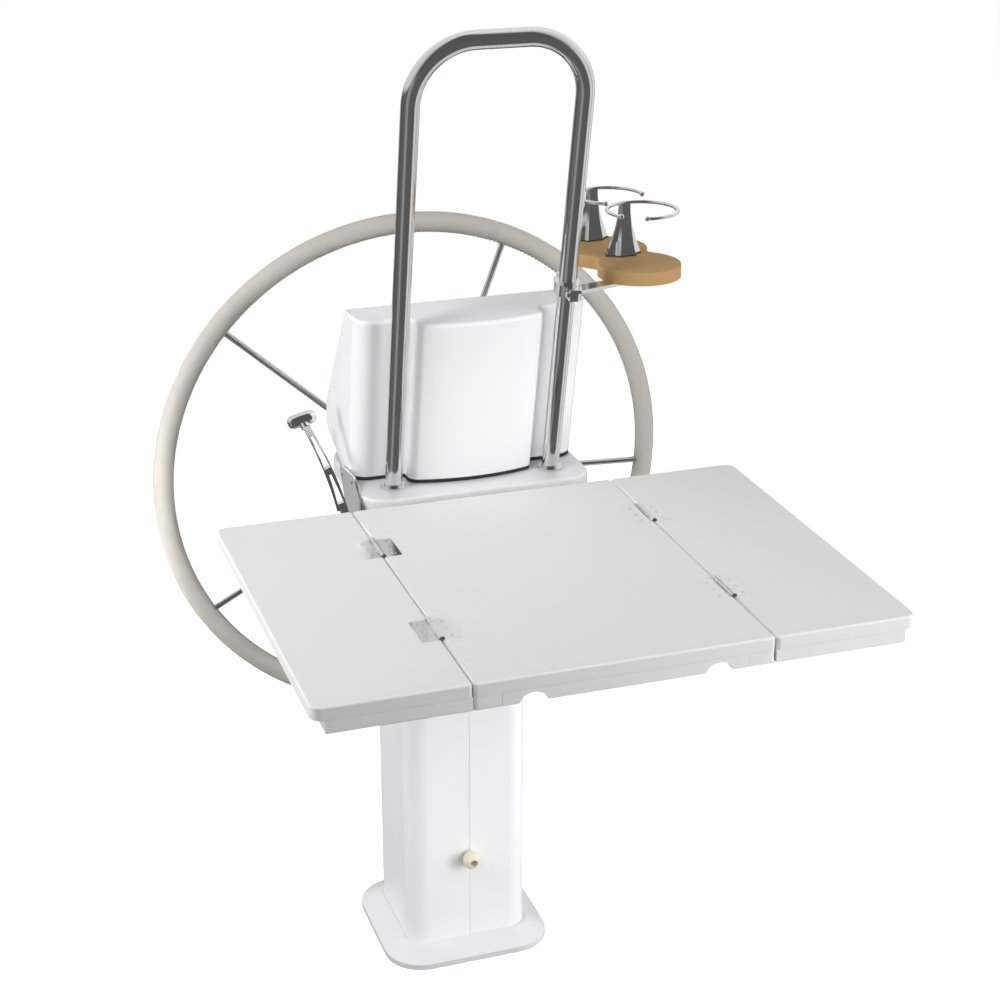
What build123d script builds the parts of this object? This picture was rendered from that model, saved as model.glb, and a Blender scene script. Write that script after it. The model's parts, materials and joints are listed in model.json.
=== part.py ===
from build123d import *

import os
from math import cos, pi, radians, sin, tan

# Helm pedestal with a fold-down cockpit table, all sizes in millimetres.
# Origin: centre of the base's underside. +Z up, -Y towards the table, +Y towards the wheel.

# Fits and clearances, per side
RUN_FIT = 0.05
SEAT_FIT = 0.02
SLIP_FIT = 0.2
TURN_GAP = 0.5

# Base flange and its deck bolts
BASE_WIDTH = 272.0
BASE_DEPTH = 262.0
BASE_CORNER = 62.0
BASE_LIP = 10.0
BASE_HEIGHT = 28.0
BASE_FLOOR = 9.0
BASE_COLLAR = 3.0
BASE_BOLT_X = 130.0
BASE_BOLT_Y = 122.0
BASE_BOLT_HOLE_R = 5.5
CABLE_HOLE_WIDTH = 84.0
CABLE_HOLE_DEPTH = 74.0
CABLE_HOLE_CORNER = 14.0

# Column, two moulded halves with a seam at front and back
COLUMN_WIDTH = 200.0
COLUMN_DEPTH = 190.0
COLUMN_CORNER = 33.0
COLUMN_WALL = 5.0
COLUMN_TOP = 690.0
SEAM_GAP = 0.4
SEAM_CHAMFER = 1.5
SPIGOT_WALL = 6.0
SPIGOT_DEPTH = 32.0

# Bumper ball on the column's front
BUMPER_R = 14.5
BUMPER_SEAT = 1.5
BUMPER_HOLE_R = 6.0
BUMPER_HOLE_DEPTH = 15.0
BUMPER_Z = 176.0

# Cast head and its plate
NECK_TOP = 790.0
FLARE_HEIGHT = 24.0
RIM_HEIGHT = 12.0
PLATE_THICK = 12.0
PLATE_ROUND = 4.0
HEAD_WIDTH = 348.0
HEAD_FRONT_Y = -170.5
HEAD_BACK_Y = 95.0
HEAD_CORNER = 40.0
HEAD_BACK_CORNER = 90.0
HEAD_WALL = 9.0
FLARE_FLOOR = 5.0

# Guard loop, raked forward
RAKE = 12.0
GUARD_Y = -120.0
GUARD_LEVEL = 830.0
GUARD_SPACING = 241.3
GUARD_R = 12.7
GUARD_WALL = 2.0
GUARD_CROWN = 680.0
GUARD_BEND = 85.0
BOSS_R = 18.0
BOSS_DEPTH = 9.0
FOOT_R = 18.5
FOOT_HEIGHT = 4.5
FOOT_ROUND = 1.5

# Pod on the head plate, raked with the guard
POD_HALF_WIDTH = 172.0
POD_TOP = 272.0
POD_TOP_DROP = 20.0
POD_LOBE_FRONT = 35.0
POD_LOBE_ROUND = 28.0
POD_BULGE_HALF = 94.0
POD_BULGE_SIDE = 6.0
POD_BULGE_CROWN = -9.0
POD_BULGE_ROUND = 16.0
POD_HOLLOW_ROUND = 9.0
POD_TOP_BACK = 100.0
POD_KNEE_BACK = 193.0
POD_KNEE_UP = 52.0
POD_CHIN_BACK = 190.0
POD_CHIN_UP = 6.0
POD_HEEL_BACK = 60.0
POD_HEEL_UP = -9.0
POD_EDGE_ROUND = 5.0
POD_KNEE_ROUND = 16.0
POD_WALL = 4.0
POD_GASKET = 6.0
FACE_MARGIN = 10.0
FACE_THICK = 4.0
FACE_CORNER = 18.0
FACE_LIFT = 4.0
WINDOW_MARGIN = 26.0

# Wheel shaft and its housing
WHEEL_Z = 738.5
SHAFT_R = 12.5
SHAFT_FRONT = -50.0
SHAFT_THREAD_R = 8.0
SHAFT_THREAD = 15.0
HOUSING_R = 30.0
HOUSING_BORE_R = 18.0
HOUSING_FRONT = -30.0
HOUSING_FLANGE_R = 50.0
HOUSING_FLANGE = 8.0
BEARING_R = 23.5
BEARING_WIDTH = 14.0

# Chain sprocket on the shaft
SPROCKET_TEETH = 13
CHAIN_PITCH = 15.875
ROLLER_R = 5.1
SPROCKET_WIDTH = 9.0
SPROCKET_ADDENDUM = 3.2
SPROCKET_HUB_R = 22.0
SPROCKET_HUB = 16.0
SPROCKET_NUT_FLATS = 24.0
SPROCKET_NUT = 12.0

# Wheel
RIM_Y = 193.6
RIM_RADIUS = 405.0
RIM_TUBE_R = 12.5
RIM_TUBE_WALL = 1.5
COVER_THICK = 3.6
COVER_GAP = 0.1
HUB_Y = 138.0
HUB_LENGTH = 32.0
HUB_R = 34.0
HUB_ROUND = 5.0
HUB_NUT_FLATS = 30.0
HUB_NUT = 11.0
HUB_DOME_R = 13.0
SPOKE_COUNT = 5
SPOKE_R = 5.0
SPOKE_ANGLE = 67.0
SPOKE_ROOT_R = 20.0

# Throttle lever on the head's left side
CONTROL_THICK = 4.0
CONTROL_BACK = -34.0
CONTROL_RISE = 20.0
CONTROL_TOP_LENGTH = 80.0
CONTROL_TOP_FALL = 10.0
CONTROL_NOSE_LENGTH = 120.0
CONTROL_NOSE_DROP = 34.0
CONTROL_HEIGHT = 98.0
CONTROL_BACK_SLOPE = 48.0
CONTROL_ROUND = 5.0
CONTROL_FRONT_ROUND = 18.0
PIVOT_Y = -125.0
PIVOT_DROP = 68.0
PIVOT_R = 5.0
PIVOT_BOSS_R = 15.0
PIVOT_BOSS = 8.0
PIVOT_HEAD_R = 9.0
PIVOT_HEAD = 4.0
LEVER_HUB_R = 13.0
LEVER_HUB = 12.0
LEVER_MID_RISE = 66.0
LEVER_TOP_RISE = 126.0
LEVER_MID_OUT = 12.5
LEVER_TOP_OUT = 34.0
LEVER_MID_AFT = 45.0
LEVER_TOP_AFT = 114.0
LEVER_FOOT_WIDTH = 16.0
LEVER_TOP_WIDTH = 10.0
LEVER_DEPTH = 8.0
LEVER_RAIL = 3.0
LEVER_SLOTS = ((0.22, 0.5), (0.56, 0.86))
LEVER_COLLAR_R = 7.0
LEVER_COLLAR_REACH = 15.0
KNOB_HALF_LENGTH = 22.0
KNOB_R = 10.5
KNOB_ROUND = 8.5
KNOB_TILT = 13.0

# Table panels
TABLE_TOP = 830.0
TABLE_BACK_Y = -173.0
TABLE_DEPTH = 560.0
CENTRE_WIDTH = 393.0
LEAF_WIDTH = 196.0
PANEL_GAP = 1.5
SLAB_THICK = 18.0
SLAB_ROUND = 3.0
OUTER_CORNER = 15.0
SEAM_CORNER = 6.0
RAIL_HEIGHT = 18.0
RAIL_WIDTH = 35.0
RAIL_ROUND = 2.0
LEAF_RAIL_SETBACK = 16.0
NOTCH_R = 20.0
NOTCH_DEPTH = 13.0
NOTCH_X = 120.65

# Leaf hinges, let in flush over the seams
LEAF_AXIS_LIFT = 0.3
LEAF_HINGE_LENGTH = 60.0
LEAF_HINGE_REACH = 26.0
LEAF_HINGE_PLATE = 2.0
LEAF_BARREL_R = 4.0
LEAF_PIN_R = 2.0
LEAF_KNUCKLE = 28.0
LEAF_HINGE_BACK = 140.0
LEAF_HINGE_FRONT = 405.0
BARREL_CLEAR = 0.5
MORTISE_CLEAR = 0.1
MORTISE_OPEN = 1.0

# Main table hinge
HINGE_Y = -120.0
HINGE_DROP = 60.0
HINGE_PIN_R = 6.0
HINGE_PIN_HEAD_R = 9.0
HINGE_PIN_HEAD = 3.0
KNUCKLE_R = 11.0
KNUCKLE_LENGTH = 16.0
ARM_X = 44.0
ARM_THICK = 8.0
ARM_FLANGE_WIDTH = 40.0
ARM_FLANGE = 5.0
ARM_REACH = 160.0
ARM_TIP = 14.0
BRACKET_THICK = 6.0
BRACKET_BELOW = 28.0
BRACKET_ABOVE = 16.0
BRACKET_HALF_WIDTH = 64.0
LUG_THICK = 6.0

# Strut under the table
STRUT_PIVOT_Y = -320.0
STRUT_PIVOT_DROP = 40.0
STRUT_FOOT_Y = -112.0
STRUT_FOOT_Z = 500.0
STRUT_R = 7.0
STRUT_EYE_R = 10.0
STRUT_EYE_LENGTH = 14.0
STRUT_PIN_R = 4.0
STRUT_EAR = 4.0
STRUT_BASE_THICK = 4.0
STRUT_BASE_LENGTH = 60.0
STRUT_BASE_WIDTH = 46.0
SHOE_LENGTH = 26.0
SHOE_SIZE = 20.0
SHOE_OVERHANG = 5.0
PEG_R = 5.0
PEG_CLEAR = 0.4
SOCKET_THICK = 5.0
SOCKET_WIDTH = 56.0
SOCKET_HEIGHT = 50.0
SOCKET_EAR = 5.0
SOCKET_EAR_R = 11.0

# Drink holder on the right guard tube
CLAMP_UP = 310.0
CLAMP_HEIGHT = 18.0
CLAMP_R = 18.0
CLAMP_SPLIT = 0.6
CLAMP_EAR_REACH = 30.0
CLAMP_EAR = 6.0
CLAMP_BOLT_R = 2.5
CLAMP_BOLT_HEAD_R = 4.5
CLAMP_BOLT_HEAD = 4.0
BOARD_TOP = 1148.0
BOARD_THICK = 19.0
BOARD_LOBE_R = 60.0
BOARD_WAIST_ROUND = 16.0
BOARD_ROUND = 2.0
BOARD_FRONT_X = 245.0
BOARD_FRONT_Y = -148.0
BOARD_REAR_X = 232.0
BOARD_REAR_Y = -52.0
HOLDER_ARM_WIDTH = 24.0
HOLDER_ARM_THICK = 5.0
HOLDER_ARM_END_X = 258.0
POST_FOOT_WIDTH = 56.0
POST_TOP_WIDTH = 18.0
POST_FACE_FOOT = 25.0
POST_FACE_TOP = 13.0
POST_FRONT_FOOT = 13.0
POST_FRONT_TOP = 5.0
POST_BACK_FOOT = 14.0
POST_BACK_TOP = 5.0
POST_BACK_TAPER = 0.8
POST_COVE_IN = 0.86
POST_COVE_FRONT = 0.42
POST_FLARE_POWER = 1.85
POST_LEVELS = (0.0, 0.15, 0.35, 0.65, 1.0)
POST_HEIGHT = 77.0
POST_SETBACK = 46.0
RING_R = 50.0
RING_WIRE_R = 2.6
RING_BALL_R = 3.8
FRONT_RING_GAP = 234.0
FRONT_RING_GAP_HALF = 22.0
REAR_RING_GAP = 297.5
REAR_RING_GAP_HALF = 54.5

# Values that follow from the sizes above
RIM_BOTTOM = NECK_TOP + FLARE_HEIGHT
PLATE_BOTTOM = RIM_BOTTOM + RIM_HEIGHT
PLATE_TOP = PLATE_BOTTOM + PLATE_THICK
CONTROL_TOP = PLATE_TOP + CONTROL_RISE
PIVOT_Z = CONTROL_TOP - PIVOT_DROP
HEAD_DEPTH = HEAD_BACK_Y - HEAD_FRONT_Y
HEAD_Y = (HEAD_BACK_Y + HEAD_FRONT_Y) / 2
COLUMN_FRONT = -COLUMN_DEPTH / 2
COLUMN_BACK = COLUMN_DEPTH / 2
SLAB_BOTTOM = TABLE_TOP - SLAB_THICK
RAIL_BOTTOM = SLAB_BOTTOM - RAIL_HEIGHT
HINGE_Z = TABLE_TOP - HINGE_DROP
BRACKET_BOTTOM = HINGE_Z - BRACKET_BELOW
BRACKET_TOP = HINGE_Z + BRACKET_ABOVE
STRUT_PIVOT_Z = TABLE_TOP - STRUT_PIVOT_DROP
TABLE_FRONT_Y = TABLE_BACK_Y - TABLE_DEPTH
LEAF_AXIS_X = CENTRE_WIDTH / 2
LEAF_AXIS_Z = TABLE_TOP + LEAF_AXIS_LIFT
LEVER_INNER_X = -(HEAD_WIDTH / 2 + CONTROL_THICK + PIVOT_BOSS + TURN_GAP)
LEVER_X = LEVER_INNER_X - LEVER_HUB / 2
BOARD_BOTTOM = BOARD_TOP - BOARD_THICK
HUB_BACK = HUB_Y + HUB_LENGTH
BIG = 2000.0

UP = Vector(0, -sin(radians(RAKE)), cos(radians(RAKE)))
AFT = Vector(0, cos(radians(RAKE)), sin(radians(RAKE)))


def raked(x, aft, up):
    """Point given across, square to and along the guard's rake."""
    return Vector(x, GUARD_Y, GUARD_LEVEL) + AFT * aft + UP * up


def rod(start, end, radius):
    """Round bar between two points."""
    line = Vector(*end) - Vector(*start)
    return extrude(Plane(origin=start, z_dir=line) * Circle(radius), line.length)


def pipe(start, end, outer, inner):
    """Round tube between two points."""
    return rod(start, end, outer) - rod(start, end, inner)


def block(x, y, z):
    """Box from three (low, high) pairs."""
    size = [high - low for low, high in (x, y, z)]
    middle = [(high + low) / 2 for low, high in (x, y, z)]
    return Pos(*middle) * Box(*size)


def prism(width, depth, corner, bottom, top):
    """Upright prism with rounded corners."""
    return extrude(Pos(0, 0, bottom) * RectangleRounded(width, depth, corner), top - bottom)


def rounded(width, depth, front_round, back_round):
    """Rectangle with its own radius for the front and for the back corners."""
    outline = Rectangle(width, depth)
    outline = fillet(outline.vertices().group_by(Axis.Y)[0], front_round)
    return fillet(outline.vertices().group_by(Axis.Y)[-1], back_round)


def column_outline(inset):
    return (COLUMN_WIDTH - 2 * inset, COLUMN_DEPTH - 2 * inset, COLUMN_CORNER - inset)


def column_section(inset, z):
    width, depth, corner = column_outline(inset)
    return Pos(0, 0, z) * rounded(width, depth, corner, corner)


def head_section(inset, z):
    """Plan of the cast head, blunter behind than in front."""
    width = HEAD_WIDTH - 2 * inset
    depth = HEAD_DEPTH - 2 * inset
    return Pos(0, HEAD_Y, z) * rounded(width, depth, HEAD_CORNER - inset, HEAD_BACK_CORNER - inset)


def mirrored(shape):
    return mirror(shape, about=Plane.YZ)


def base_flange():
    """Floor with a sloped skirt, a pocket for the column and an inner spigot."""
    lip = prism(BASE_WIDTH, BASE_DEPTH, BASE_CORNER, 0, BASE_LIP)
    hem = Pos(0, 0, BASE_LIP) * rounded(BASE_WIDTH, BASE_DEPTH, BASE_CORNER, BASE_CORNER)
    skirt = loft([hem, column_section(-BASE_COLLAR, BASE_HEIGHT)])
    pocket = prism(*column_outline(-SLIP_FIT), BASE_FLOOR, BASE_HEIGHT + BASE_FLOOR)
    outside = COLUMN_WALL + SLIP_FIT
    spigot = prism(*column_outline(outside), BASE_FLOOR, BASE_FLOOR + SPIGOT_DEPTH)
    hollow = prism(*column_outline(outside + SPIGOT_WALL), BASE_FLOOR, BASE_FLOOR + SPIGOT_DEPTH)
    flange = (lip + skirt - pocket) + (spigot - hollow)
    cable_hole = (CABLE_HOLE_WIDTH, CABLE_HOLE_DEPTH, CABLE_HOLE_CORNER)
    flange -= prism(*cable_hole, -BASE_FLOOR, 2 * BASE_FLOOR)
    for x, y in bolt_places():
        flange -= rod((x, y, -BASE_FLOOR), (x, y, 2 * BASE_FLOOR), BASE_BOLT_HOLE_R)
    return flange


def bolt_places():
    return [(sx * BASE_BOLT_X / 2, sy * BASE_BOLT_Y / 2) for sx in (-1, 1) for sy in (-1, 1)]


def column_right_half():
    """Half shell of the column, chamfered along its two outer seam edges."""
    shell = prism(*column_outline(0), BASE_FLOOR, COLUMN_TOP)
    shell -= prism(*column_outline(COLUMN_WALL), BASE_FLOOR, COLUMN_TOP)
    half = shell & block((SEAM_GAP / 2, COLUMN_WIDTH), (-COLUMN_DEPTH, COLUMN_DEPTH), (0, COLUMN_TOP))
    seam = half.edges().filter_by(Axis.Z).group_by(Axis.X)[0].sort_by(Axis.Y)
    return chamfer([seam[0], seam[-1]], SEAM_CHAMFER)


def column_bumper():
    """Ball with a flat seat and a screw hole in front."""
    centre_y = COLUMN_FRONT - BUMPER_R + BUMPER_SEAT
    ball = Pos(0, centre_y, BUMPER_Z) * Sphere(BUMPER_R)
    ball -= block((-BUMPER_R, BUMPER_R), (COLUMN_FRONT, 0), (BUMPER_Z - BUMPER_R, BUMPER_Z + BUMPER_R))
    front = centre_y - BUMPER_R
    return ball - rod((0, front, BUMPER_Z), (0, front + BUMPER_HOLE_DEPTH, BUMPER_Z), BUMPER_HOLE_R)


def head_housing():
    """Hollow neck that flares out to carry the plate, with a spigot down into the column."""
    outside = prism(*column_outline(0), COLUMN_TOP, NECK_TOP)
    outside += loft([column_section(0, NECK_TOP), head_section(0, RIM_BOTTOM)])
    outside += extrude(head_section(0, RIM_BOTTOM), RIM_HEIGHT)
    spigot_inset = COLUMN_WALL + SLIP_FIT
    outside += prism(*column_outline(spigot_inset), COLUMN_TOP - SPIGOT_DEPTH, COLUMN_TOP)
    neck_inset = spigot_inset + SPIGOT_WALL
    neck_level = NECK_TOP + FLARE_FLOOR
    rim_level = RIM_BOTTOM + FLARE_FLOOR
    inside = prism(*column_outline(neck_inset), COLUMN_TOP - SPIGOT_DEPTH, neck_level)
    inside += loft([column_section(neck_inset, neck_level), head_section(HEAD_WALL, rim_level)])
    inside += extrude(head_section(HEAD_WALL, rim_level), PLATE_BOTTOM - rim_level)
    housing = outside - inside
    return housing - rod((0, 0, WHEEL_Z), (0, COLUMN_DEPTH, WHEEL_Z), HOUSING_R + SLIP_FIT)


def guard_axis(x, low, high):
    return raked(x, 0, low), raked(x, 0, high)


def guard_foot_level():
    """Distance along the rake to the lower ends of the guard."""
    return (PLATE_BOTTOM - BOSS_DEPTH - GUARD_LEVEL) / cos(radians(RAKE))


def head_plate():
    """Plate with rounded top edge and two raked bosses for the guard."""
    plate = extrude(head_section(0, PLATE_BOTTOM), PLATE_THICK)
    plate = fillet(plate.faces().sort_by(Axis.Z)[-1].edges(), PLATE_ROUND)
    middle = (PLATE_BOTTOM + PLATE_THICK / 2 - GUARD_LEVEL) / cos(radians(RAKE))
    for x in (-GUARD_SPACING / 2, GUARD_SPACING / 2):
        plate += rod(*guard_axis(x, guard_foot_level(), middle), BOSS_R)
    for x in (-GUARD_SPACING / 2, GUARD_SPACING / 2):
        plate -= rod(*guard_axis(x, -GUARD_CROWN, GUARD_CROWN), GUARD_R + SLIP_FIT)
    return plate


def guard_foot(side):
    """Ring on the plate where a guard tube goes in."""
    x = side * GUARD_SPACING / 2
    y = GUARD_Y - (PLATE_TOP - GUARD_LEVEL) * tan(radians(RAKE))
    ring = rod((x, y, PLATE_TOP), (x, y, PLATE_TOP + FOOT_HEIGHT), FOOT_R)
    ring = fillet(ring.faces().sort_by(Axis.Z)[-1].edges(), FOOT_ROUND)
    return ring - rod(*guard_axis(x, -GUARD_CROWN, GUARD_CROWN), GUARD_R + SLIP_FIT)


def guard_rail():
    """Tube bent into a loop, swept in the raked plane."""
    plane = Plane(origin=raked(0, 0, 0), x_dir=(1, 0, 0), z_dir=-AFT)
    half = GUARD_SPACING / 2
    foot = guard_foot_level()
    corners = [(-half, foot), (-half, GUARD_CROWN), (half, GUARD_CROWN), (half, foot)]
    path = plane * FilletPolyline(*corners, radius=GUARD_BEND)
    section = Plane(origin=path @ 0, z_dir=path % 0) * (Circle(GUARD_R) - Circle(GUARD_R - GUARD_WALL))
    return sweep(section, path=path)


def pod_plan():
    """Pod seen along the rake: crowned bulge between two lobes."""
    half = POD_HALF_WIDTH
    bulge = POD_BULGE_HALF
    back = POD_KNEE_BACK + POD_WALL
    crown = ThreePointArc((-bulge, POD_BULGE_SIDE), (0, POD_BULGE_CROWN), (bulge, POD_BULGE_SIDE))
    steps = [(bulge, POD_BULGE_SIDE), (bulge, POD_LOBE_FRONT), (half, POD_LOBE_FRONT), (half, back)]
    right = Polyline(*steps)
    left = Polyline(*[(-x, aft) for x, aft in steps])
    plan = make_face([crown, right, left, Line((half, back), (-half, back))])
    plan = fillet(plan_corners(plan, half, POD_LOBE_FRONT), POD_LOBE_ROUND)
    plan = fillet(plan_corners(plan, bulge, POD_LOBE_FRONT), POD_HOLLOW_ROUND)
    return fillet(plan_corners(plan, bulge, POD_BULGE_SIDE), POD_BULGE_ROUND)


def plan_corners(plan, across, aft):
    """The pair of corners at a distance to either side."""
    near = [v for v in plan.vertices() if abs(v.Y - aft) < SLIP_FIT]
    return [v for v in near if abs(abs(v.X) - across) < SLIP_FIT]


def pod_side():
    """Pod seen from the side, with a rounded knee and chin behind."""
    front = POD_BULGE_CROWN - POD_WALL
    low = POD_HEEL_UP - POD_KNEE_BACK * sin(radians(RAKE))
    points = [(front, low), (POD_HEEL_BACK, low), (POD_HEEL_BACK, POD_HEEL_UP)]
    points += [(POD_CHIN_BACK, POD_CHIN_UP), (POD_KNEE_BACK, POD_KNEE_UP)]
    points += [(POD_TOP_BACK, POD_TOP - POD_TOP_DROP), (front, POD_TOP)]
    side = make_face(Polyline(*points, close=True))
    corners = [v for v in side.vertices() if v.X > POD_CHIN_BACK - SLIP_FIT]
    return fillet(corners, POD_KNEE_ROUND)


def pod_body(inset):
    """Solid of the pod, or of its hollow when inset."""
    low = POD_HEEL_UP - POD_KNEE_BACK * sin(radians(RAKE))
    plan = pod_plan()
    side = pod_side()
    if inset:
        plan = offset(plan, -inset, kind=Kind.ARC)
        side = offset(side, -inset, kind=Kind.ARC)
    plan_plane = Plane(origin=raked(0, 0, low), x_dir=(1, 0, 0), z_dir=UP)
    side_plane = Plane(origin=raked(0, 0, 0), x_dir=AFT, z_dir=(1, 0, 0))
    upright = extrude(plan_plane * plan, POD_TOP - low)
    across = extrude(side_plane * side, POD_HALF_WIDTH + POD_WALL, both=True)
    return upright & across


def above(level):
    return block((-BIG, BIG), (-BIG, BIG), (level, level + BIG))


def pod_shell():
    """Pod wall from the plate upwards, open below."""
    body = pod_body(0)
    top = max(body.faces(), key=lambda face: face.center().dot(UP))
    body = fillet(top.edges(), POD_EDGE_ROUND)
    return (body - pod_body(POD_WALL)) & above(PLATE_TOP)


def pod_gasket(shell):
    return shell - above(PLATE_TOP + POD_GASKET)


def face_plane():
    """Plane of the pod's sloped aft face, its Y running up the face."""
    middle_aft = (POD_TOP_BACK + POD_KNEE_BACK) / 2
    middle_up = (POD_TOP - POD_TOP_DROP + POD_KNEE_UP) / 2
    run = AFT * (POD_TOP_BACK - POD_KNEE_BACK) + UP * (POD_TOP - POD_TOP_DROP - POD_KNEE_UP)
    normal = run.cross(Vector(1, 0, 0))
    return Plane(origin=raked(0, middle_aft, middle_up), x_dir=(-1, 0, 0), z_dir=normal)


def face_outline(margin):
    run = Vector(POD_TOP_BACK - POD_KNEE_BACK, POD_TOP - POD_TOP_DROP - POD_KNEE_UP)
    width = 2 * (POD_HALF_WIDTH - margin)
    height = run.length - 2 * margin - POD_KNEE_ROUND
    return Pos(0, FACE_LIFT) * RectangleRounded(width, height, FACE_CORNER)


def pod_housing(shell):
    """Shell above its gasket, with a window in the aft wall behind the face plate."""
    window = extrude(face_plane() * face_outline(WINDOW_MARGIN), 2 * POD_WALL, both=True)
    return (shell & above(PLATE_TOP + POD_GASKET)) - window


def pod_face():
    return extrude(face_plane() * face_outline(FACE_MARGIN), FACE_THICK)


def on_shaft(y):
    return (0, y, WHEEL_Z)


def shaft_housing():
    """Flanged tube through the head's back wall, with a bearing seat at each end."""
    back = COLUMN_BACK + HOUSING_FLANGE
    body = rod(on_shaft(HOUSING_FRONT), on_shaft(COLUMN_BACK), HOUSING_R)
    body += rod(on_shaft(COLUMN_BACK), on_shaft(back), HOUSING_FLANGE_R)
    body -= rod(on_shaft(HOUSING_FRONT), on_shaft(back), HOUSING_BORE_R)
    body -= rod(on_shaft(HOUSING_FRONT), on_shaft(HOUSING_FRONT + BEARING_WIDTH), BEARING_R + SEAT_FIT)
    return body - rod(on_shaft(back - BEARING_WIDTH), on_shaft(back), BEARING_R + SEAT_FIT)


def shaft_bearing(front):
    return pipe(on_shaft(front), on_shaft(front + BEARING_WIDTH), BEARING_R, SHAFT_R + RUN_FIT)


def wheel_shaft():
    shaft = rod(on_shaft(SHAFT_FRONT), on_shaft(HUB_BACK), SHAFT_R)
    shaft += rod(on_shaft(SHAFT_FRONT - SHAFT_THREAD), on_shaft(SHAFT_FRONT), SHAFT_THREAD_R)
    return shaft + rod(on_shaft(HUB_BACK), on_shaft(HUB_BACK + SHAFT_THREAD), SHAFT_THREAD_R)


def chain_sprocket():
    """Toothed disc cut by the chain's rollers, on a hub that ends at the shaft's shoulder."""
    pitch_r = CHAIN_PITCH / 2 / sin(pi / SPROCKET_TEETH)
    end = SHAFT_FRONT + SPROCKET_HUB
    disc = rod(on_shaft(SHAFT_FRONT), on_shaft(SHAFT_FRONT + SPROCKET_WIDTH), pitch_r + SPROCKET_ADDENDUM)
    for tooth in range(SPROCKET_TEETH):
        angle = 2 * pi * tooth / SPROCKET_TEETH
        x = pitch_r * cos(angle)
        z = WHEEL_Z + pitch_r * sin(angle)
        disc -= rod((x, SHAFT_FRONT, z), (x, end, z), ROLLER_R)
    disc += rod(on_shaft(SHAFT_FRONT), on_shaft(end), SPROCKET_HUB_R)
    return disc - rod(on_shaft(SHAFT_FRONT), on_shaft(end), SHAFT_R + SEAT_FIT)


def hexagon(y, flats, length):
    """Hexagonal prism on the shaft's axis, growing aft."""
    plane = Plane(origin=on_shaft(y), x_dir=(1, 0, 0), z_dir=(0, 1, 0))
    return extrude(plane * RegularPolygon(flats / 2, 6, major_radius=False), length)


def sprocket_nut():
    front = SHAFT_FRONT - SPROCKET_NUT
    nut = hexagon(front, SPROCKET_NUT_FLATS, SPROCKET_NUT)
    return nut - rod(on_shaft(front), on_shaft(SHAFT_FRONT), SHAFT_THREAD_R + SEAT_FIT)


def wheel_hub():
    hub = rod(on_shaft(HUB_Y), on_shaft(HUB_BACK), HUB_R)
    hub = fillet(hub.edges().filter_by(GeomType.CIRCLE), HUB_ROUND)
    return hub - rod(on_shaft(HUB_Y), on_shaft(HUB_BACK), SHAFT_R + SEAT_FIT)


def hub_nut():
    """Domed nut over the shaft's end."""
    nut = hexagon(HUB_BACK, HUB_NUT_FLATS, HUB_NUT)
    dome = Pos(0, HUB_BACK + HUB_NUT, WHEEL_Z) * Sphere(HUB_DOME_R)
    behind = block((-BIG, BIG), (HUB_BACK, BIG), (-BIG, BIG))
    nut += dome & behind
    thread_end = on_shaft(HUB_BACK + SHAFT_THREAD + TURN_GAP)
    return nut - rod(on_shaft(HUB_BACK), thread_end, SHAFT_THREAD_R + SEAT_FIT)


def rim_torus(radius):
    return Pos(0, RIM_Y, WHEEL_Z) * Rot(90, 0, 0) * Torus(RIM_RADIUS, radius)


def wheel_rim():
    return rim_torus(RIM_TUBE_R) - rim_torus(RIM_TUBE_R - RIM_TUBE_WALL)


def spoke_line(number):
    """Ends of one spoke, in the hub and at the rim's centre line."""
    angle = radians(SPOKE_ANGLE + 360 / SPOKE_COUNT * number)
    middle = HUB_Y + HUB_LENGTH / 2
    root = (SPOKE_ROOT_R * cos(angle), middle, WHEEL_Z + SPOKE_ROOT_R * sin(angle))
    tip = (RIM_RADIUS * cos(angle), RIM_Y, WHEEL_Z + RIM_RADIUS * sin(angle))
    return root, tip


def wheel_spokes():
    """Dished rods, trimmed to the hub and to the rim tube."""
    hub = rod(on_shaft(HUB_Y), on_shaft(HUB_BACK), HUB_R)
    rim = rim_torus(RIM_TUBE_R)
    return [rod(*spoke_line(number), SPOKE_R) - hub - rim for number in range(SPOKE_COUNT)]


def rim_cover():
    """Soft cover round the rim, with a hole for each spoke."""
    holes = [rod(*spoke_line(number), SPOKE_R + SLIP_FIT) for number in range(SPOKE_COUNT)]
    return rim_torus(RIM_TUBE_R + COVER_THICK) - ([rim_torus(RIM_TUBE_R + COVER_GAP)] + holes)


def control_plate():
    """Fin-shaped side plate for the throttle, sharp behind and rounded in front."""
    bottom = CONTROL_TOP - CONTROL_HEIGHT
    nose = CONTROL_BACK - CONTROL_NOSE_LENGTH
    points = [(CONTROL_BACK, CONTROL_TOP - CONTROL_TOP_FALL), (CONTROL_BACK - CONTROL_BACK_SLOPE, bottom)]
    points += [(nose, bottom), (nose, CONTROL_TOP - CONTROL_NOSE_DROP)]
    points.append((CONTROL_BACK - CONTROL_TOP_LENGTH, CONTROL_TOP))
    outline = make_face(Polyline(*points, close=True))
    outline = fillet(outline.vertices().sort_by(Axis.X)[-2:], CONTROL_ROUND)
    outline = fillet(outline.vertices().sort_by(Axis.X)[:3], CONTROL_FRONT_ROUND)
    inner_x = -HEAD_WIDTH / 2
    side_plane = Plane(origin=(inner_x, 0, 0), x_dir=(0, 1, 0), z_dir=(1, 0, 0))
    plate = extrude(side_plane * outline, -CONTROL_THICK)
    return plate - rod((inner_x - BIG, PIVOT_Y, PIVOT_Z), (0, PIVOT_Y, PIVOT_Z), PIVOT_R + SEAT_FIT)


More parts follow.
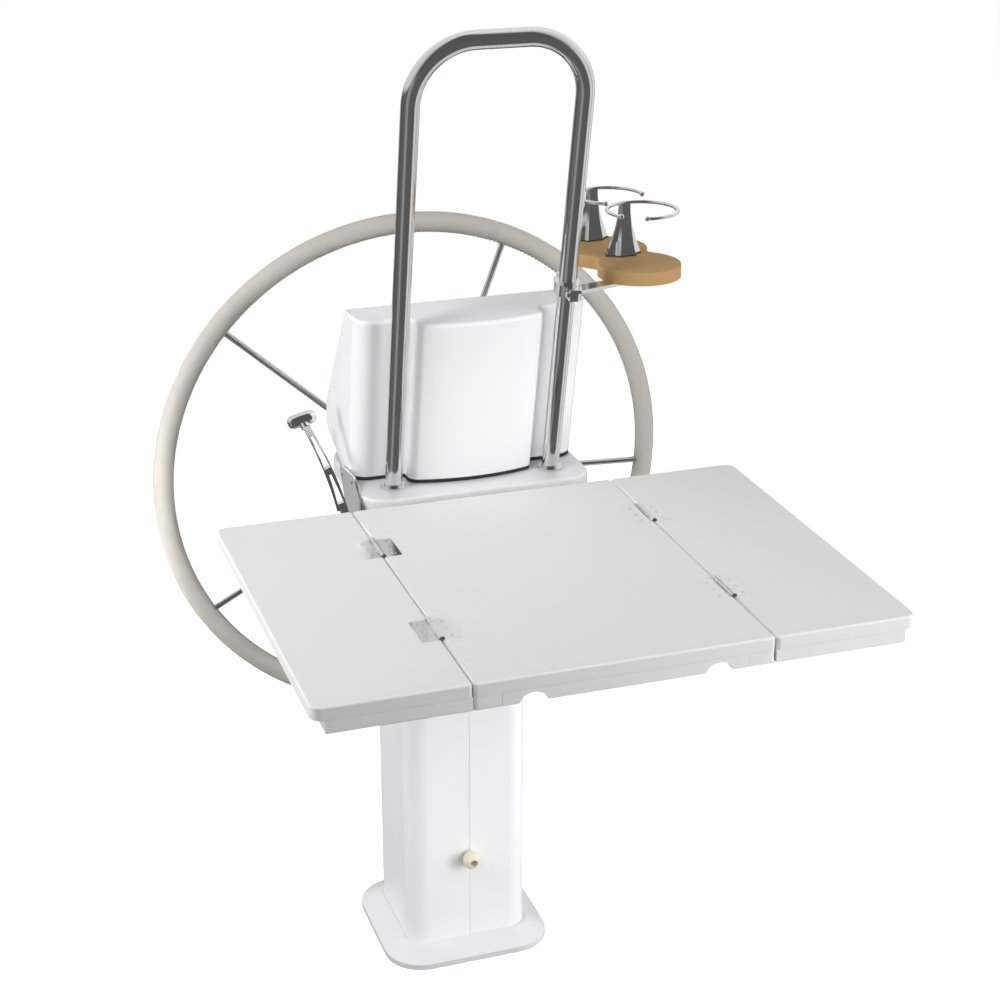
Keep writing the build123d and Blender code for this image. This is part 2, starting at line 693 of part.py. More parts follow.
def throttle_pivot():
    """Boss on the side plate with the pin that the lever turns on."""
    plate_out = -HEAD_WIDTH / 2 - CONTROL_THICK
    boss_out = plate_out - PIVOT_BOSS
    head_in = LEVER_INNER_X - LEVER_HUB - TURN_GAP
    places = [plate_out + CONTROL_THICK, plate_out, boss_out, head_in, head_in - PIVOT_HEAD]
    inside, plate_face, boss_face, head_face, end = [(x, PIVOT_Y, PIVOT_Z) for x in places]
    pivot = rod(plate_face, boss_face, PIVOT_BOSS_R)
    pivot += rod(inside, head_face, PIVOT_R)
    return pivot + rod(head_face, end, PIVOT_HEAD_R)


def band(curve, start, end, start_half, end_half):
    """Face along part of a curve, of changing width."""
    places = [start, (start + end) / 2, end]
    halves = [start_half, (start_half + end_half) / 2, end_half]
    sides = []
    for side in (-1, 1):
        points = []
        for place, half in zip(places, halves):
            along = curve % place
            points.append(curve @ place + Vector(-along.Y, along.X) * half * side)
        sides.append(ThreePointArc(*points))
    caps = [Line(sides[0] @ 0, sides[1] @ 0), Line(sides[0] @ 1, sides[1] @ 1)]
    return make_face(sides + caps)


def lever_knob_centre():
    return Vector(LEVER_X - LEVER_TOP_OUT, PIVOT_Y + LEVER_TOP_AFT, PIVOT_Z + LEVER_TOP_RISE)


def throttle_arm(knob):
    """Two-rail arm: its front view and its side view met together, slotted, on a hub."""
    top_z = PIVOT_Z + LEVER_TOP_RISE
    mid_z = PIVOT_Z + LEVER_MID_RISE
    out = [(LEVER_X, PIVOT_Z), (LEVER_X - LEVER_MID_OUT, mid_z), (LEVER_X - LEVER_TOP_OUT, top_z)]
    aft = [(PIVOT_Y, PIVOT_Z), (PIVOT_Y + LEVER_MID_AFT, mid_z), (PIVOT_Y + LEVER_TOP_AFT, top_z)]
    front = ThreePointArc(*out)
    side = ThreePointArc(*aft)
    foot_half = LEVER_FOOT_WIDTH / 2
    top_half = LEVER_TOP_WIDTH / 2
    arm = extrude(Plane.XZ * band(front, 0, 1, foot_half, top_half), BIG, both=True)
    arm &= extrude(Plane.YZ * band(side, 0, 1, LEVER_DEPTH / 2, LEVER_DEPTH / 2), BIG, both=True)
    for start, end in LEVER_SLOTS:
        slot = band(front, start, end, foot_half - LEVER_RAIL, top_half - LEVER_RAIL)
        arm -= extrude(Plane.XZ * slot, BIG, both=True)
    inner = (LEVER_INNER_X, PIVOT_Y, PIVOT_Z)
    outer = (LEVER_INNER_X - LEVER_HUB, PIVOT_Y, PIVOT_Z)
    hub_span = block((outer[0], inner[0]), (-BIG, BIG), (-BIG, BIG))
    near = rod((outer[0] - BIG, PIVOT_Y, PIVOT_Z), (0, PIVOT_Y, PIVOT_Z), LEVER_HUB_R + LEVER_DEPTH)
    arm = arm - (near - hub_span) + rod(inner, outer, LEVER_HUB_R)
    arm -= rod((0, PIVOT_Y, PIVOT_Z), (-BIG, PIVOT_Y, PIVOT_Z), PIVOT_R + RUN_FIT)
    return arm + lever_collar() - knob


def lever_collar():
    """Short round collar under the knob."""
    out = LEVER_TOP_OUT - LEVER_MID_OUT
    aft = LEVER_TOP_AFT - LEVER_MID_AFT
    rise = Vector(-out, aft, LEVER_TOP_RISE - LEVER_MID_RISE).normalized()
    return rod(lever_knob_centre() - rise * LEVER_COLLAR_REACH, lever_knob_centre(), LEVER_COLLAR_R)


def throttle_knob():
    """Pill-shaped knob lying across, square to the arm."""
    knob = rod((-KNOB_HALF_LENGTH, 0, 0), (KNOB_HALF_LENGTH, 0, 0), KNOB_R)
    knob = fillet(knob.edges().filter_by(GeomType.CIRCLE), KNOB_ROUND)
    return Pos(*lever_knob_centre()) * Rot(0, -KNOB_TILT, 0) * knob


def panel(x_low, x_high, low_corner, high_corner):
    """Table slab with rounded corners and a rounded top edge."""
    middle = Pos((x_low + x_high) / 2, (TABLE_BACK_Y + TABLE_FRONT_Y) / 2, SLAB_BOTTOM)
    outline = middle * Rectangle(x_high - x_low, TABLE_DEPTH)
    outline = fillet(outline.vertices().group_by(Axis.X)[0], low_corner)
    outline = fillet(outline.vertices().group_by(Axis.X)[-1], high_corner)
    slab = extrude(outline, SLAB_THICK)
    return fillet(slab.faces().sort_by(Axis.Z)[-1].edges(), SLAB_ROUND)


def leaf_hinge_places():
    """Middles of the two hinges on each seam."""
    return [TABLE_BACK_Y - LEAF_HINGE_BACK, TABLE_BACK_Y - LEAF_HINGE_FRONT]


def seam_mortises(side):
    """Cuts for the flush plates and barrels along one seam."""
    x = side * LEAF_AXIS_X
    half = LEAF_HINGE_LENGTH / 2 + MORTISE_CLEAR
    reach = LEAF_HINGE_REACH + MORTISE_CLEAR
    cuts = []
    depth = (TABLE_TOP - LEAF_HINGE_PLATE, TABLE_TOP + MORTISE_OPEN)
    for y in leaf_hinge_places():
        start = (x, y - half, LEAF_AXIS_Z)
        end = (x, y + half, LEAF_AXIS_Z)
        cuts.append(block((x - reach, x + reach), (y - half, y + half), depth))
        cuts.append(rod(start, end, LEAF_BARREL_R + BARREL_CLEAR))
    return cuts


def cut_all(shape, cuts):
    for cut in cuts:
        shape -= cut
    return shape


def centre_slab():
    half = LEAF_AXIS_X - PANEL_GAP / 2
    return cut_all(panel(-half, half, SEAM_CORNER, SEAM_CORNER), seam_mortises(-1) + seam_mortises(1))


def right_leaf_slab():
    low = LEAF_AXIS_X + PANEL_GAP / 2
    return cut_all(panel(low, LEAF_AXIS_X + LEAF_WIDTH, SEAM_CORNER, OUTER_CORNER), seam_mortises(1))


def rail(x, y):
    """Frame rail under a slab, its lower edges eased."""
    bar = block(x, y, (RAIL_BOTTOM, SLAB_BOTTOM))
    return fillet(bar.faces().sort_by(Axis.Z)[0].edges(), RAIL_ROUND)


def centre_right_rail():
    outer = LEAF_AXIS_X - PANEL_GAP / 2
    return rail((outer - RAIL_WIDTH, outer), (TABLE_FRONT_Y, TABLE_BACK_Y))


def centre_cross_rail(front, notched):
    """Rail between the side rails, at the front with two hand notches below."""
    half = LEAF_AXIS_X - PANEL_GAP / 2 - RAIL_WIDTH
    bar = rail((-half, half), (front, front + RAIL_WIDTH))
    if notched:
        z = RAIL_BOTTOM + NOTCH_DEPTH - NOTCH_R
        for x in (-NOTCH_X, NOTCH_X):
            bar -= rod((x, front, z), (x, front + RAIL_WIDTH, z), NOTCH_R)
    return bar


def right_leaf_rails():
    """Four rails under a leaf, set back from its outer edge."""
    low = LEAF_AXIS_X + PANEL_GAP / 2
    high = LEAF_AXIS_X + LEAF_WIDTH - LEAF_RAIL_SETBACK
    inner_front = TABLE_FRONT_Y + RAIL_WIDTH
    inner_back = TABLE_BACK_Y - RAIL_WIDTH
    rails = [rail((low, high), (TABLE_FRONT_Y, inner_front)), rail((low, high), (inner_back, TABLE_BACK_Y))]
    rails.append(rail((low, low + RAIL_WIDTH), (inner_front, inner_back)))
    rails.append(rail((high - RAIL_WIDTH, high), (inner_front, inner_back)))
    return rails


def hinge_plate(y, spans, side):
    """One flush plate on the right seam, with barrel knuckles over the given spans."""
    half = LEAF_HINGE_LENGTH / 2
    clear = LEAF_BARREL_R + BARREL_CLEAR
    low_z = TABLE_TOP - LEAF_HINGE_PLATE
    ends = sorted((LEAF_AXIS_X + side * clear, LEAF_AXIS_X + side * LEAF_HINGE_REACH))
    plate = block(ends, (y - half, y + half), (low_z, TABLE_TOP))
    for start, end in spans:
        bridge = sorted((LEAF_AXIS_X, LEAF_AXIS_X + side * (clear + LEAF_HINGE_PLATE)))
        plate += block(bridge, (y + start, y + end), (low_z, TABLE_TOP))
        plate += rod(on_seam(y + start), on_seam(y + end), LEAF_BARREL_R)
    return plate


def on_seam(y):
    return (LEAF_AXIS_X, y, LEAF_AXIS_Z)


def leaf_hinge_bore(y, fit):
    return rod(on_seam(y - LEAF_HINGE_LENGTH), on_seam(y + LEAF_HINGE_LENGTH), LEAF_PIN_R + fit)


def fixed_hinge_plates():
    """Centre-side plates of the right seam, two end knuckles each."""
    half = LEAF_HINGE_LENGTH / 2
    inner = LEAF_KNUCKLE / 2 + TURN_GAP
    spans = [(-half, -inner), (inner, half)]
    return [hinge_plate(y, spans, -1) - leaf_hinge_bore(y, SEAT_FIT) for y in leaf_hinge_places()]


def right_leaf_hinge_plates():
    """Leaf-side plates of the right seam, one middle knuckle each."""
    spans = [(-LEAF_KNUCKLE / 2, LEAF_KNUCKLE / 2)]
    return [hinge_plate(y, spans, 1) - leaf_hinge_bore(y, RUN_FIT) for y in leaf_hinge_places()]


def leaf_hinge_pins():
    half = LEAF_HINGE_LENGTH / 2
    return [rod(on_seam(y - half), on_seam(y + half), LEAF_PIN_R) for y in leaf_hinge_places()]


def on_hinge(x):
    return (x, HINGE_Y, HINGE_Z)


def table_arm_right():
    """Arm from under the slab, below the back rail, to the hinge knuckle."""
    rail_front = TABLE_BACK_Y - RAIL_WIDTH - TURN_GAP
    flange_low = SLAB_BOTTOM - ARM_FLANGE
    under = RAIL_BOTTOM - TURN_GAP
    tip_y = rail_front - ARM_REACH
    outline = [(tip_y, flange_low), (rail_front, flange_low), (rail_front, under), (TABLE_BACK_Y, under)]
    outline += [(HINGE_Y, HINGE_Z + KNUCKLE_R), (HINGE_Y, HINGE_Z - KNUCKLE_R)]
    outline.append((tip_y, flange_low - ARM_TIP))
    web = Plane.YZ * make_face(Polyline(*outline, close=True))
    arm = Pos(ARM_X, 0, 0) * extrude(web, ARM_THICK / 2, both=True)
    flange_x = (ARM_X - ARM_FLANGE_WIDTH / 2, ARM_X + ARM_FLANGE_WIDTH / 2)
    arm += block(flange_x, (tip_y, rail_front), (flange_low, SLAB_BOTTOM))
    half = KNUCKLE_LENGTH / 2
    arm += rod(on_hinge(ARM_X - half), on_hinge(ARM_X + half), KNUCKLE_R)
    return arm - rod(on_hinge(ARM_X - half), on_hinge(ARM_X + half), HINGE_PIN_R + RUN_FIT)


def lug_places():
    """Inner faces of the two lugs beside the right arm's knuckle."""
    half = KNUCKLE_LENGTH / 2 + TURN_GAP
    return ARM_X - half, ARM_X + half


def table_hinge_bracket():
    """Plate on the head's front with four lugs."""
    face = COLUMN_FRONT - BRACKET_THICK
    width = (-BRACKET_HALF_WIDTH, BRACKET_HALF_WIDTH)
    bracket = block(width, (face, COLUMN_FRONT), (BRACKET_BOTTOM, BRACKET_TOP))
    outline = [(face, BRACKET_BOTTOM), (HINGE_Y, HINGE_Z - KNUCKLE_R)]
    outline += [(HINGE_Y, HINGE_Z + KNUCKLE_R), (face, BRACKET_TOP)]
    cheek = Plane.YZ * make_face(Polyline(*outline, close=True))
    low, high = lug_places()
    for start in (low - LUG_THICK, high):
        lug = Pos(start, 0, 0) * extrude(cheek, LUG_THICK)
        lug += rod(on_hinge(start), on_hinge(start + LUG_THICK), KNUCKLE_R)
        lug -= rod(on_hinge(start), on_hinge(start + LUG_THICK), HINGE_PIN_R + SEAT_FIT)
        bracket += lug + mirrored(lug)
    return bracket


def table_hinge_pin():
    low, high = lug_places()
    start = low - LUG_THICK
    end = high + LUG_THICK
    pin = rod(on_hinge(start), on_hinge(end), HINGE_PIN_R)
    pin += rod(on_hinge(end), on_hinge(end + HINGE_PIN_HEAD), HINGE_PIN_HEAD_R)
    return pin + rod(on_hinge(start - HINGE_PIN_HEAD), on_hinge(start), HINGE_PIN_HEAD_R)


def strut_top(x=0.0):
    return Vector(x, STRUT_PIVOT_Y, STRUT_PIVOT_Z)


def strut_end(x=0.0):
    return Vector(x, STRUT_FOOT_Y, STRUT_FOOT_Z)


def strut_bracket():
    """Base under the slab with two ears for the strut's eye."""
    inner = STRUT_EYE_LENGTH / 2 + TURN_GAP
    low = SLAB_BOTTOM - STRUT_BASE_THICK
    half = STRUT_BASE_LENGTH / 2
    across = (-STRUT_BASE_WIDTH / 2, STRUT_BASE_WIDTH / 2)
    base = block(across, (STRUT_PIVOT_Y - half, STRUT_PIVOT_Y + half), (low, SLAB_BOTTOM))
    ear_y = (STRUT_PIVOT_Y - STRUT_EYE_R, STRUT_PIVOT_Y + STRUT_EYE_R)
    for start in (-inner - STRUT_EAR, inner):
        sides = (start, start + STRUT_EAR)
        ear = block(sides, ear_y, (STRUT_PIVOT_Z, low))
        ear += rod(strut_top(sides[0]), strut_top(sides[1]), STRUT_EYE_R)
        base += ear - rod(strut_top(sides[0]), strut_top(sides[1]), STRUT_PIN_R + SEAT_FIT)
    return base


def strut_pin():
    half = STRUT_EYE_LENGTH / 2 + TURN_GAP + STRUT_EAR
    return rod(strut_top(-half), strut_top(half), STRUT_PIN_R)


def strut_direction():
    return (strut_end() - strut_top()).normalized()


def strut_tube():
    """Bar with an eye at the table and a plain lower end inside the shoe."""
    half = STRUT_EYE_LENGTH / 2
    tube = rod(strut_top(), strut_end() - strut_direction() * SHOE_SIZE / 2, STRUT_R)
    tube += rod(strut_top(-half), strut_top(half), STRUT_EYE_R)
    return tube - rod(strut_top(-half), strut_top(half), STRUT_PIN_R + RUN_FIT)


def strut_foot():
    """Shoe with an open saddle that hooks over the socket's peg."""
    along = strut_direction()
    plane = Plane(origin=strut_end() - along * SHOE_LENGTH, x_dir=(1, 0, 0), z_dir=along)
    shoe = extrude(plane * RectangleRounded(SHOE_SIZE, SHOE_SIZE, STRUT_EAR), SHOE_LENGTH + SHOE_OVERHANG)
    saddle = PEG_R + PEG_CLEAR
    shoe -= rod(strut_end(-SHOE_SIZE), strut_end(SHOE_SIZE), saddle)
    mouth = Plane(origin=strut_end(), x_dir=(1, 0, 0), z_dir=along)
    slot = extrude(mouth * Rectangle(2 * SHOE_SIZE, 2 * saddle), SHOE_SIZE)
    bore = rod(strut_top(), strut_end() - along * SHOE_SIZE / 2, STRUT_R + SEAT_FIT)
    return shoe - slot - bore


def strut_socket():
    """Plate on the column with two ears and the peg that carries the strut."""
    face = COLUMN_FRONT - SOCKET_THICK
    half_width = SOCKET_WIDTH / 2
    half_height = SOCKET_HEIGHT / 2
    heights = (STRUT_FOOT_Z - half_height, STRUT_FOOT_Z + half_height)
    socket = block((-half_width, half_width), (face, COLUMN_FRONT), heights)
    inner = SHOE_SIZE / 2 + TURN_GAP
    for start in (-inner - SOCKET_EAR, inner):
        sides = (start, start + SOCKET_EAR)
        ear_z = (STRUT_FOOT_Z - SOCKET_EAR_R, STRUT_FOOT_Z + SOCKET_EAR_R)
        socket += block(sides, (STRUT_FOOT_Y, face), ear_z)
        socket += rod(strut_end(sides[0]), strut_end(sides[1]), SOCKET_EAR_R)
    return socket + rod(strut_end(-inner), strut_end(inner), PEG_R)


def clamp_ring():
    """Split collar round the right guard tube, with ears before and behind."""
    x = GUARD_SPACING / 2
    half = CLAMP_HEIGHT / 2
    collar = rod(*guard_axis(x, CLAMP_UP - half, CLAMP_UP + half), CLAMP_R)
    plane = Plane(origin=raked(x, 0, CLAMP_UP), x_dir=(1, 0, 0), z_dir=UP)
    ears = plane * Rectangle(2 * CLAMP_EAR, 2 * CLAMP_EAR_REACH)
    collar += extrude(ears, half, both=True)
    collar -= rod(*guard_axis(x, 0, GUARD_CROWN), GUARD_R + SEAT_FIT)
    for start, end in clamp_bolt_lines():
        collar -= rod(start, end, CLAMP_BOLT_R + SEAT_FIT)
    return collar


def clamp_bolt_lines():
    """Axes of the two clamp bolts, through the ears."""
    reach = (CLAMP_R + CLAMP_EAR_REACH) / 2
    low = GUARD_SPACING / 2 - CLAMP_EAR
    high = GUARD_SPACING / 2 + CLAMP_EAR
    return [(raked(low, aft, CLAMP_UP), raked(high, aft, CLAMP_UP)) for aft in (-reach, reach)]


def clamp_bolts():
    bolts = []
    for start, end in clamp_bolt_lines():
        bolt = rod(start, end, CLAMP_BOLT_R)
        bolts.append(bolt + rod(start - Vector(CLAMP_BOLT_HEAD, 0, 0), start, CLAMP_BOLT_HEAD_R))
    return bolts


def clamp_cap(ring):
    split = GUARD_SPACING / 2 - CLAMP_SPLIT / 2
    return ring & block((-BIG, split), (-BIG, BIG), (0, BIG))


def clamp_body(ring):
    """Right half of the collar with the arm under the board."""
    split = GUARD_SPACING / 2 + CLAMP_SPLIT / 2
    body = ring & block((split, BIG), (-BIG, BIG), (0, BIG))
    root = raked(GUARD_SPACING / 2, 0, CLAMP_UP)
    tip = Vector(HOLDER_ARM_END_X, BOARD_FRONT_Y)
    start = Vector(root.X + (GUARD_R + CLAMP_R) / 2, root.Y)
    line = tip - start
    middle = (start + tip) / 2
    plane = Plane(origin=(middle.X, middle.Y, BOARD_BOTTOM - HOLDER_ARM_THICK), x_dir=line, z_dir=(0, 0, 1))
    strap = extrude(plane * SlotOverall(line.length + HOLDER_ARM_WIDTH, HOLDER_ARM_WIDTH), HOLDER_ARM_THICK)
    strap -= rod(*guard_axis(root.X, 0, GUARD_CROWN), CLAMP_R - TURN_GAP)
    return body + strap


def holder_axis():
    """Unit vector from the rear lobe of the board to its front lobe."""
    return Vector(BOARD_FRONT_X - BOARD_REAR_X, BOARD_FRONT_Y - BOARD_REAR_Y).normalized()


def drink_board():
    """Two round lobes with a filleted waist."""
    outline = Pos(BOARD_FRONT_X, BOARD_FRONT_Y) * Circle(BOARD_LOBE_R)
    outline += Pos(BOARD_REAR_X, BOARD_REAR_Y) * Circle(BOARD_LOBE_R)
    middle = Vector(BOARD_FRONT_X + BOARD_REAR_X, BOARD_FRONT_Y + BOARD_REAR_Y) / 2
    board = extrude(Pos(0, 0, BOARD_BOTTOM) * outline, BOARD_THICK)
    upright = board.edges().filter_by(Axis.Z)
    waist = [e for e in upright if abs((e.center() - middle).dot(holder_axis())) < SLIP_FIT]
    board = fillet(waist, BOARD_WAIST_ROUND)
    return fillet(board.faces().sort_by(Axis.Z)[-1].edges(), BOARD_ROUND)


def post_foot(x, y):
    """Where a lobe's cup post stands, behind the lobe."""
    return Vector(x, y) - holder_axis() * POST_SETBACK


def cup_ring(x, y, gap_angle, gap_half):
    """Open wire ring with ball ends."""
    foot = post_foot(x, y)
    centre = foot + holder_axis() * RING_R
    level = BOARD_TOP + POST_HEIGHT
    place = Pos(centre.X, centre.Y, level)
    arc = CenterArc((0, 0), RING_R, gap_angle + gap_half, 360 - 2 * gap_half)
    path = place * arc
    ring = sweep(Plane(origin=path @ 0, z_dir=path % 0) * Circle(RING_WIRE_R), path=path)
    for end in (path @ 0, path @ 1):
        ring += Pos(*end) * Sphere(RING_BALL_R)
    return ring


def post_section(share):
    """Plan of a cup post at a share of its height: flat face, coved flanks, flat back."""
    flared = (1 - share) ** POST_FLARE_POWER
    half = (POST_TOP_WIDTH + (POST_FOOT_WIDTH - POST_TOP_WIDTH) * flared) / 2
    face = (POST_FACE_TOP + (POST_FACE_FOOT - POST_FACE_TOP) * flared) / 2
    front = POST_FRONT_TOP + (POST_FRONT_FOOT - POST_FRONT_TOP) * flared
    back = POST_BACK_TOP + (POST_BACK_FOOT - POST_BACK_TOP) * flared
    cove = ((face + half) / 2 * POST_COVE_IN, front * POST_COVE_FRONT)
    right = [(face, front), cove, (half, 0), (half * POST_BACK_TAPER, -back)]
    left = [(-across, along) for across, along in reversed(right)]
    return make_face(Polyline(*right, *left, close=True))


def cup_post(x, y, ring):
    """Post flared towards its foot, the ring let into its top."""
    foot = post_foot(x, y)
    along = holder_axis()
    sections = []
    for share in POST_LEVELS:
        level = BOARD_TOP + POST_HEIGHT * share
        plane = Plane(origin=(foot.X, foot.Y, level), x_dir=(along.Y, -along.X, 0), z_dir=(0, 0, 1))
        sections.append(plane * post_section(share))
    return loft(sections) - ring


def save(name, pieces):
    """Write one node; several solids go in as a group."""
    group = pieces if isinstance(pieces, list) else [pieces]
    solids = [solid for piece in group for solid in piece.solids()]
    export_step(solids[0] if len(solids) == 1 else Compound(solids), f"parts/{name}.step")


def build_pedestal():
    column = column_right_half()
    shell = pod_shell()
    hinge_pin = table_hinge_pin()
    save("base_flange", base_flange())
    save("column_left_half", mirrored(column))
    save("column_right_half", column)
    save("column_bumper", column_bumper())
    save("head_housing", head_housing())
    save("head_plate", head_plate())
    save("guard_rail", guard_rail())
    save("guard_foot_left", guard_foot(-1))
    save("guard_foot_right", guard_foot(1))
    save("pod_gasket", pod_gasket(shell))
    save("pod_housing", pod_housing(shell))
    save("pod_face", pod_face())
    save("shaft_housing", shaft_housing())
    save("shaft_bearing_front", shaft_bearing(HOUSING_FRONT))
    save("shaft_bearing_rear", shaft_bearing(COLUMN_BACK + HOUSING_FLANGE - BEARING_WIDTH))
    save("control_plate", control_plate())
    save("throttle_pivot", throttle_pivot())
    save("table_hinge_bracket", table_hinge_bracket())
    save("table_hinge_pin_left", mirrored(hinge_pin))
    save("table_hinge_pin_right", hinge_pin)
    save("strut_socket", strut_socket())


def build_drink_holder():
    ring = clamp_ring()
    front = cup_ring(BOARD_FRONT_X, BOARD_FRONT_Y, FRONT_RING_GAP, FRONT_RING_GAP_HALF)
    rear = cup_ring(BOARD_REAR_X, BOARD_REAR_Y, REAR_RING_GAP, REAR_RING_GAP_HALF)
    save("guard_clamp_body", clamp_body(ring))
    save("guard_clamp_cap", clamp_cap(ring))
    save("guard_clamp_bolts", clamp_bolts())
    save("drink_board", drink_board())
    save("cup_post_front", cup_post(BOARD_FRONT_X, BOARD_FRONT_Y, front))
    save("cup_post_rear", cup_post(BOARD_REAR_X, BOARD_REAR_Y, rear))
    save("cup_ring_front", front)
    save("cup_ring_rear", rear)


def build_wheel():
    save("wheel_shaft", wheel_shaft())
    save("chain_sprocket", chain_sprocket())
    save("sprocket_nut", sprocket_nut())
    save("wheel_hub", wheel_hub())
    save("hub_nut", hub_nut())
    save("wheel_spokes", wheel_spokes())
    save("wheel_rim", wheel_rim())
    save("rim_cover", rim_cover())


def build_throttle():
    knob = throttle_knob()
    save("throttle_arm", throttle_arm(knob))
    save("throttle_knob", knob)


def build_table():
    side_rail = centre_right_rail()
    arm = table_arm_right()
    fixed = fixed_hinge_plates()
    pins = leaf_hinge_pins()
    save("centre_slab", centre_slab())
    save("centre_left_rail", mirrored(side_rail))
    save("centre_right_rail", side_rail)
    save("centre_front_rail", centre_cross_rail(TABLE_FRONT_Y, True))
    save("centre_back_rail", centre_cross_rail(TABLE_BACK_Y - RAIL_WIDTH, False))
    save("table_arm_left", mirrored(arm))
    save("table_arm_right", arm)
    save("strut_bracket", strut_bracket())
    save("strut_pin", strut_pin())
    save("leaf_hinge_fixed_plates", fixed + [mirrored(plate) for plate in fixed])
    save("leaf_hinge_pins", pins + [mirrored(pin) for pin in pins])


def build_leaves():
    slab = right_leaf_slab()
    rails = right_leaf_rails()
    plates = right_leaf_hinge_plates()
    save("right_leaf_slab", slab)
    save("right_leaf_rails", rails)
    save("right_leaf_hinge_plates", plates)
    save("left_leaf_slab", mirrored(slab))
    save("left_leaf_rails", [mirrored(bar) for bar in rails])
    save("left_leaf_hinge_plates", [mirrored(plate) for plate in plates])


def build_strut():
    save("strut_tube", strut_tube())
    save("strut_foot", strut_foot())


if __name__ == "__main__":
    os.makedirs("parts", exist_ok=True)
    build_pedestal()
    build_drink_holder()
    build_wheel()
    build_throttle()
    build_table()
    build_leaves()
    build_strut()
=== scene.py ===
import json
from math import cos, exp, pi, radians, sin, sqrt

import bmesh
import bpy
from mathutils import Matrix, Vector

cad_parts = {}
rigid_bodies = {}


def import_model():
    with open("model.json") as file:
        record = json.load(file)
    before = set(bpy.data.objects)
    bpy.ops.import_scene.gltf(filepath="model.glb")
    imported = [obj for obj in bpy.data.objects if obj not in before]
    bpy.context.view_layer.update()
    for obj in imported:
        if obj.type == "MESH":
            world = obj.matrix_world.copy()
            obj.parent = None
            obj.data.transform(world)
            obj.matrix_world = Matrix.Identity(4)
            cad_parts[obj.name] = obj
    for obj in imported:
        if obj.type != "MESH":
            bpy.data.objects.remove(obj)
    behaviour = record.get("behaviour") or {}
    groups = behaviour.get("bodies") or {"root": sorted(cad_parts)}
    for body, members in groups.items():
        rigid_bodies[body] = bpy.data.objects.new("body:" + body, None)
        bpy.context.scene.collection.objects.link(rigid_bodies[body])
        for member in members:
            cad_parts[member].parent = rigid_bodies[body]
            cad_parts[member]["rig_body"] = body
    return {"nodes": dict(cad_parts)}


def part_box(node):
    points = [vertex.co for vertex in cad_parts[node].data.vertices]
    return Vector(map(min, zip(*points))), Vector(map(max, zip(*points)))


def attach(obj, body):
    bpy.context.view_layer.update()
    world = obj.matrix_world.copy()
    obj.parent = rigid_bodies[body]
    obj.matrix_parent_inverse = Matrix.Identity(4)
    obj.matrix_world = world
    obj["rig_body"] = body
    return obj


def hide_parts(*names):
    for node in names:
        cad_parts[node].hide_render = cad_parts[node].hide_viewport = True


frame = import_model()

bl_info = {
    "name": "Helm pedestal with cockpit table",
    "version": (1, 0, 0),
    "blender": (4, 5, 0),
    "location": "View3D > Sidebar > Helm",
    "description": "Finishes a steering pedestal with its wheel, guard, drink holder and folding table",
    "category": "Object",
}

MM = 0.001

# Joining of the CAD meshes before they are finished
WELD = 0.01 * MM
FLAT_ANGLE = radians(0.05)
SHARP_ANGLE = radians(32)
EASE_SEGMENTS = 2
CORNER_REACH = 0.1 * MM
CORNER_STEPS = 6

# Guard loop, on a plane raked forward through this line
GUARD_Y = -120.0 * MM
GUARD_LEVEL = 830.0 * MM
GUARD_FOOT = -13.2 * MM
BEND_STEPS = 40
TUBE_SIDES = 48
PLATE_TOP = 838.0 * MM
FOOT_LIP = 1.5 * MM
LIP_STEPS = 6
FOOT_BORE = 12.9 * MM

# Wheel
WHEEL_CENTRE = Vector((0.0, 193.6, 738.5)) * MM
WHEEL_AXIS = Vector((0.0, 1.0, 0.0))
SPOKE_ROOT = Vector((20.0, -39.6)) * MM
SPOKE_SHOWN = (0.02, 0.985)
SPOKE_COUNT = 5
SPOKE_SIDES = 24
COVER_STEPS = 1080
COVER_SIDES = 40
SEAM_WIDTH = 0.09
SEAM_DEPTH = 0.9 * MM
PUCKER_SPREAD = 0.55
PUCKER_DEPTH = 0.45 * MM
HIDE_RIPPLE = 0.2 * MM
HIDE_WAVES = ((23, 2, 0.4), (41, 1, 1.9), (67, 3, 4.1), (97, 2, 2.7))
GATHER_SPREAD = 0.022
GATHER_DEPTH = 0.5 * MM
GATHER_FOLDS = 420
JOINT_OFFSET = radians(2.6)
JOINT_WIDTH = 0.0035
JOINT_DEPTH = 0.9 * MM
STITCH_LEAN = radians(38)
STITCH_SINK = 0.4 * MM
THREAD_SIDES = 10
THREAD_RINGS = 8

# Sealant in the column's seams, and the bumper ball on its front
BEAD_SINK = 1.3 * MM
BUMPER_CENTRE = Vector((0.0, -108.0, 176.0)) * MM
BUMPER_OUT = Vector((0.0, -1.0, 0.0))
BUMPER_SEAT = 13.0 * MM
BUMPER_HOLE = 6.0 * MM
BUMPER_HOLE_DEPTH = 15.0 * MM
HOLE_LIP = 0.8 * MM
BALL_STEPS = 28
SPIN_STEPS = 64

# Throttle knob, a stretched ball with full shoulders
KNOB_CENTRE = Vector((-226.5, -11.0, 916.0)) * MM
KNOB_ALONG = Vector((cos(radians(13)), 0.0, sin(radians(13))))
KNOB_SHOULDER = 3.2
KNOB_STEPS = 40

